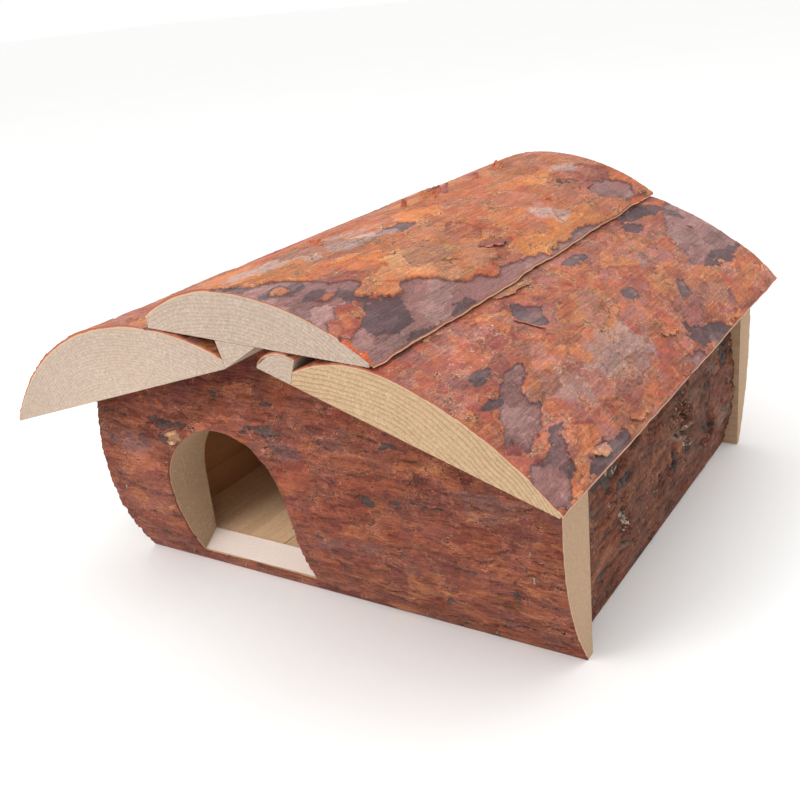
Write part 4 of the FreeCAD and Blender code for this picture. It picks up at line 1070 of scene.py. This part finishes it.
# %% [markdown]
# ## Sawn wood
#
# Growth rings are circles round the pith of the log, and the slab's round side was once the outside of
# that log. Patterns drawn on single faces wouldn't meet at the edges. So one solid pattern gives every sawn
# face at once: the distance from the pith, cut by the end of a slab, shows as arcs, and cut by its flat
# face, as straight grain.


# %% Wood materials
RING_STOPS = [(0.0, BLACK), (0.55, grey(0.10)), (0.82, grey(0.55)), (0.93, WHITE), (1.0, BLACK)]
PORE, FLUFF, STAIN = (150, 124, 104), (232, 224, 220), (176, 140, 108)
SILL_FACING = (0, -math.sin(SILL_FALL), math.cos(SILL_FALL))


def sawn_finish(name, slab, early, late, ring_mm, contrast, sill_highlight=None):
    """Pine: rings round the pith, with a slow rise to dark latewood and a quick fall after it.

    The distance from the pith is sqrt(a^2 + d^2), with a the way across the slab from its crown and d the way
    out from the middle of its arc. Slow noise makes rings wider and narrower. The last argument is a paler
    colour painted on faces that slope up like the sill: a painted highlight where the sky falls on them.
    """
    material, wire, place, shader = new_finish(name)
    across = place.along(tuple(slab.across)) - float(slab.corner @ slab.across) * MM
    out = place.along(tuple(slab.out)) - float(slab.corner @ slab.out) * MM
    radius = sum(slab.radii) / 2
    side = across - slab.crown * MM
    deep = out - (slab.thickness - radius) * MM
    stretched = place.times(*(1 - 0.94 * np.abs(slab.grain)).tolist())
    bend = (stretched.noise(16, 2.0) - 0.5) * 0.012 + (stretched.noise(120, 2.0) - 0.5) * 0.0010
    from_pith = (side * side + deep * deep) ** 0.5 + bend
    slow = wire.node("ShaderNodeCombineXYZ", None, {0: from_pith * 60}).noise(1.0, 2.0)
    rings = from_pith / (ring_mm * MM) + 2.5 * slow
    ring = rings.fraction().colours(RING_STOPS)
    strength = contrast * (0.25 + 1.2 * stretched.noise(28, 2.0))
    ring_share = wire.node("ShaderNodeSeparateColor", None, {0: ring}) * strength
    colour = ring_share.mix(paint(*early), paint(*late))
    facing = wire.node("ShaderNodeNewGeometry", output="Normal").along(tuple(slab.grain))
    end_grain = abs(facing).step(0.6, 0.9)
    fibre = place.times(*(1600 - 1570 * np.abs(slab.grain)).tolist()).noise(1.0, 3.0, 0.6)
    pores = place.noise(850, 2.0, 0.7).step(0.52, 0.66)
    fuzz = place.noise(330, 4.0, 0.75)
    colour = (end_grain * pores * 0.25).mix(colour, paint(*PORE))
    fluff = place.noise(640, 2.0, 0.7).step(0.58, 0.70) * place.noise(26, 3.0).step(0.42, 0.6)
    colour = (end_grain * fluff * 0.35).mix(colour, paint(*FLUFF))
    grit = place.noise(900, 2.0, 0.8)
    colour = colour.tint(1 + 0.6 * (fuzz - 0.5) + 0.5 * (fibre - 0.5) + 0.5 * end_grain * (grit - 0.5))
    stain = place.noise(11, 3.0).step(0.56, 0.75) * 0.16
    colour = stain.mix(colour, paint(*STAIN))
    if sill_highlight:
        # Painted highlight: faces that slope up like the sill get the paler colour, as if the sky lit them
        # more
        on_sill = wire.node("ShaderNodeNewGeometry", output="Normal").along(SILL_FACING)
        colour = (on_sill.step(0.9, 0.97) * 0.85).mix(colour, paint(*sill_highlight))
    roughness = 0.66 + 0.24 * fuzz
    height = fibre * 0.7 + pores * -0.5 + ring_share * 0.5
    finish_with(shader, colour, roughness, height, 0.25)
    shader.inputs["Specular IOR Level"].default_value = 0.3
    return material


def dress_node(node, material):
    """Gives a CAD node a finish by its material slots."""
    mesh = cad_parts[node].data
    if not mesh.materials:
        mesh.materials.append(material)
    for number in range(len(mesh.materials)):
        mesh.materials[number] = material


PALE, PALE_RING = (184, 164, 147), (146, 122, 102)
WARM, WARM_RING = (192, 162, 126), (138, 100, 68)
TANNED, TANNED_RING = (182, 151, 121), (158, 124, 92)
# A darker, warmer copy of the tanned wood for the left wall, whose inside shows through the entrance: painted
# shade of the dim inside
INDOOR_SHADE, INDOOR_SHADE_RING = (196, 138, 92), (166, 108, 68)
PLANK, PLANK_RING = (246, 208, 164), (222, 176, 128)
# A paler colour for the sill's upward slope: a painted highlight where the sky falls on it
SILL_HIGHLIGHT = (216, 201, 192)
# For each node: its slab, the two colours of a ring, the ring's width and its contrast, and for the front
# wall the painted highlight on its sill
wood = {
    "roof_left_slab": ("roof_left", PALE, PALE_RING, 2.2, 0.5),
    "roof_cap_slab": ("roof_cap", PALE, PALE_RING, 2.6, 0.6),
    "roof_right_slab": ("roof_right", WARM, WARM_RING, 3.1, 0.75),
    "ridge_strip_right": ("ridge_strip_right", PALE, PALE_RING, 2.6, 0.5),
    "front_wall": ("front_wall", TANNED, TANNED_RING, 2.8, 0.5, SILL_HIGHLIGHT),
    "back_wall": ("back_wall", TANNED, TANNED_RING, 3.0, 0.6),
    "left_wall": ("left_wall", INDOOR_SHADE, INDOOR_SHADE_RING, 3.0, 0.6),
    "right_wall": ("right_wall", TANNED, TANNED_RING, 3.0, 0.6),
}
for node, (slab_name, *look) in wood.items():
    dress_node(node, sawn_finish(node + "_sawn", slabs[slab_name], *look))
# The left ridge strip and the planks have no round side, so each gets a made-up log to take its rings from
strip_log = roof_slab(-40, 190, 8, 80, 40, 44, (5, 5))
dress_node("ridge_strip_left", sawn_finish("ridge_strip_left_sawn", strip_log, PALE, PALE_RING, 2.4, 0.5))
plank_middles = (-119.5, -6.0, 107.5)
LOG_WIDTH, LOG_BELOW, LOG_SHIFT = 120, -40, 9   # the shift puts each plank's pith in another place
for number, middle in enumerate(plank_middles, 1):
    log_left = middle - LOG_WIDTH / 2 + LOG_SHIFT * number
    plank_log = roof_slab(log_left, LOG_BELOW, 0, LOG_WIDTH, LOG_WIDTH / 2, 60, (20, 20))
    finish = sawn_finish("floor_plank_%d_sawn" % number, plank_log, PLANK, PLANK_RING, 5.0, 0.5)
    dress_node("floor_plank_%d" % number, finish)
print("wood finishes:", len(wood) + 1 + len(plank_middles))

# %% [markdown]
# ## Staples
#
# The slabs are held by narrow staples, driven a little below the bark. Most are bright steel. Those in the
# cap have the yellow coating that makes them hold better. Their solids come from the frame, so only the
# metal is made here. It has two tones, because a single one would look like paint.


# %% Staple materials
def metal_finish(name, bright, dull):
    """Metal: two tones mixed by a cloudy noise, rougher where it is dull."""
    material, _, place, shader = new_finish(name)
    cloud = place.noise(900, 3.0).step(0.35, 0.7)
    colour = cloud.mix(paint(*bright), paint(*dull))
    finish_with(shader, colour, 0.28 + 0.3 * cloud, place.noise(2400, 2.0), 0.03)
    shader.inputs["Metallic"].default_value = 1.0
    return material


steel = metal_finish("staple_bright_steel", (168, 162, 154), (104, 96, 88))
yellow = metal_finish("staple_yellow_coat", (214, 172, 98), (150, 108, 52))
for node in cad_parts:
    if node.endswith("_staples"):
        dress_node(node, yellow if node.startswith("roof_cap") else steel)
print("staples dressed")

# %% [markdown]
# ## Floor and light
#
# The photograph has a white ground and soft light from all round, strongest from above. A white world
# gives the soft part. A large light in front on the left shapes the slabs, one above gives the roof its
# brightness, and a narrow one looks in at the entrance, so that the floor inside shows. A picture of a sky
# could light the house too, but these four are easier to change one by one.

# %% Studio
FLOOR_SIZE = 40.0   # metres
FLOOR_HEIGHT = -0.2   # millimetres, just under the house, so that the two faces don't flicker
FLOOR_WHITE, FLOOR_SHADE = (253, 253, 252), (249, 249, 248)
corners = np.array([[-1, -1, 0], [1, -1, 0], [1, 1, 0], [-1, 1, 0]]) * FLOOR_SIZE / 2 / MM
corners[:, 2] = FLOOR_HEIGHT
floor = new_piece("studio_floor", corners, [[0, 1, 2, 3]], {}, np.array([False]))
floor_finish, _, place, shader = new_finish("studio_floor_pale")
finish_with(shader, place.noise(3, 2.0).mix(paint(*FLOOR_WHITE), paint(*FLOOR_SHADE)),
            0.75 + 0.1 * place.noise(40, 2.0), place.noise(300, 2.0), 0.02)
floor.data.materials.append(floor_finish)

world = bpy.data.worlds.new("studio")
world.use_nodes = True
background = next(node for node in world.node_tree.nodes if node.type == "BACKGROUND")
background.inputs["Color"].default_value = (1.0, 1.0, 1.0, 1.0)
background.inputs["Strength"].default_value = 1.0
bpy.context.scene.world = world


def area_light(name, place, aim, width, power, spread=180):
    """A square soft light that looks at a point, its beam `spread` degrees wide."""
    lamp = bpy.data.lights.new(name, "AREA")
    lamp.size = width
    lamp.energy = power
    lamp.spread = math.radians(spread)
    light = bpy.data.objects.new(name, lamp)
    light.location = place
    light.rotation_mode = "QUATERNION"
    light.rotation_quaternion = (Vector(aim) - Vector(place)).to_track_quat("-Z", "Y")
    bpy.context.scene.collection.objects.link(light)


area_light("key_light", place=(-0.8, -1.9, 1.7), aim=(0, -0.1, 0.1), width=1.0, power=21)
area_light("top_light", place=(0.2, 0.4, 2.2), aim=(0, 0, 0.2), width=2.0, power=12)
area_light("entrance_light", place=(-0.20, -1.3, 0.42), aim=(-0.06, -0.04, 0.02), width=0.12, power=0.040,
           spread=14)
bpy.context.scene.view_settings.view_transform = "Standard"
print("studio ready")
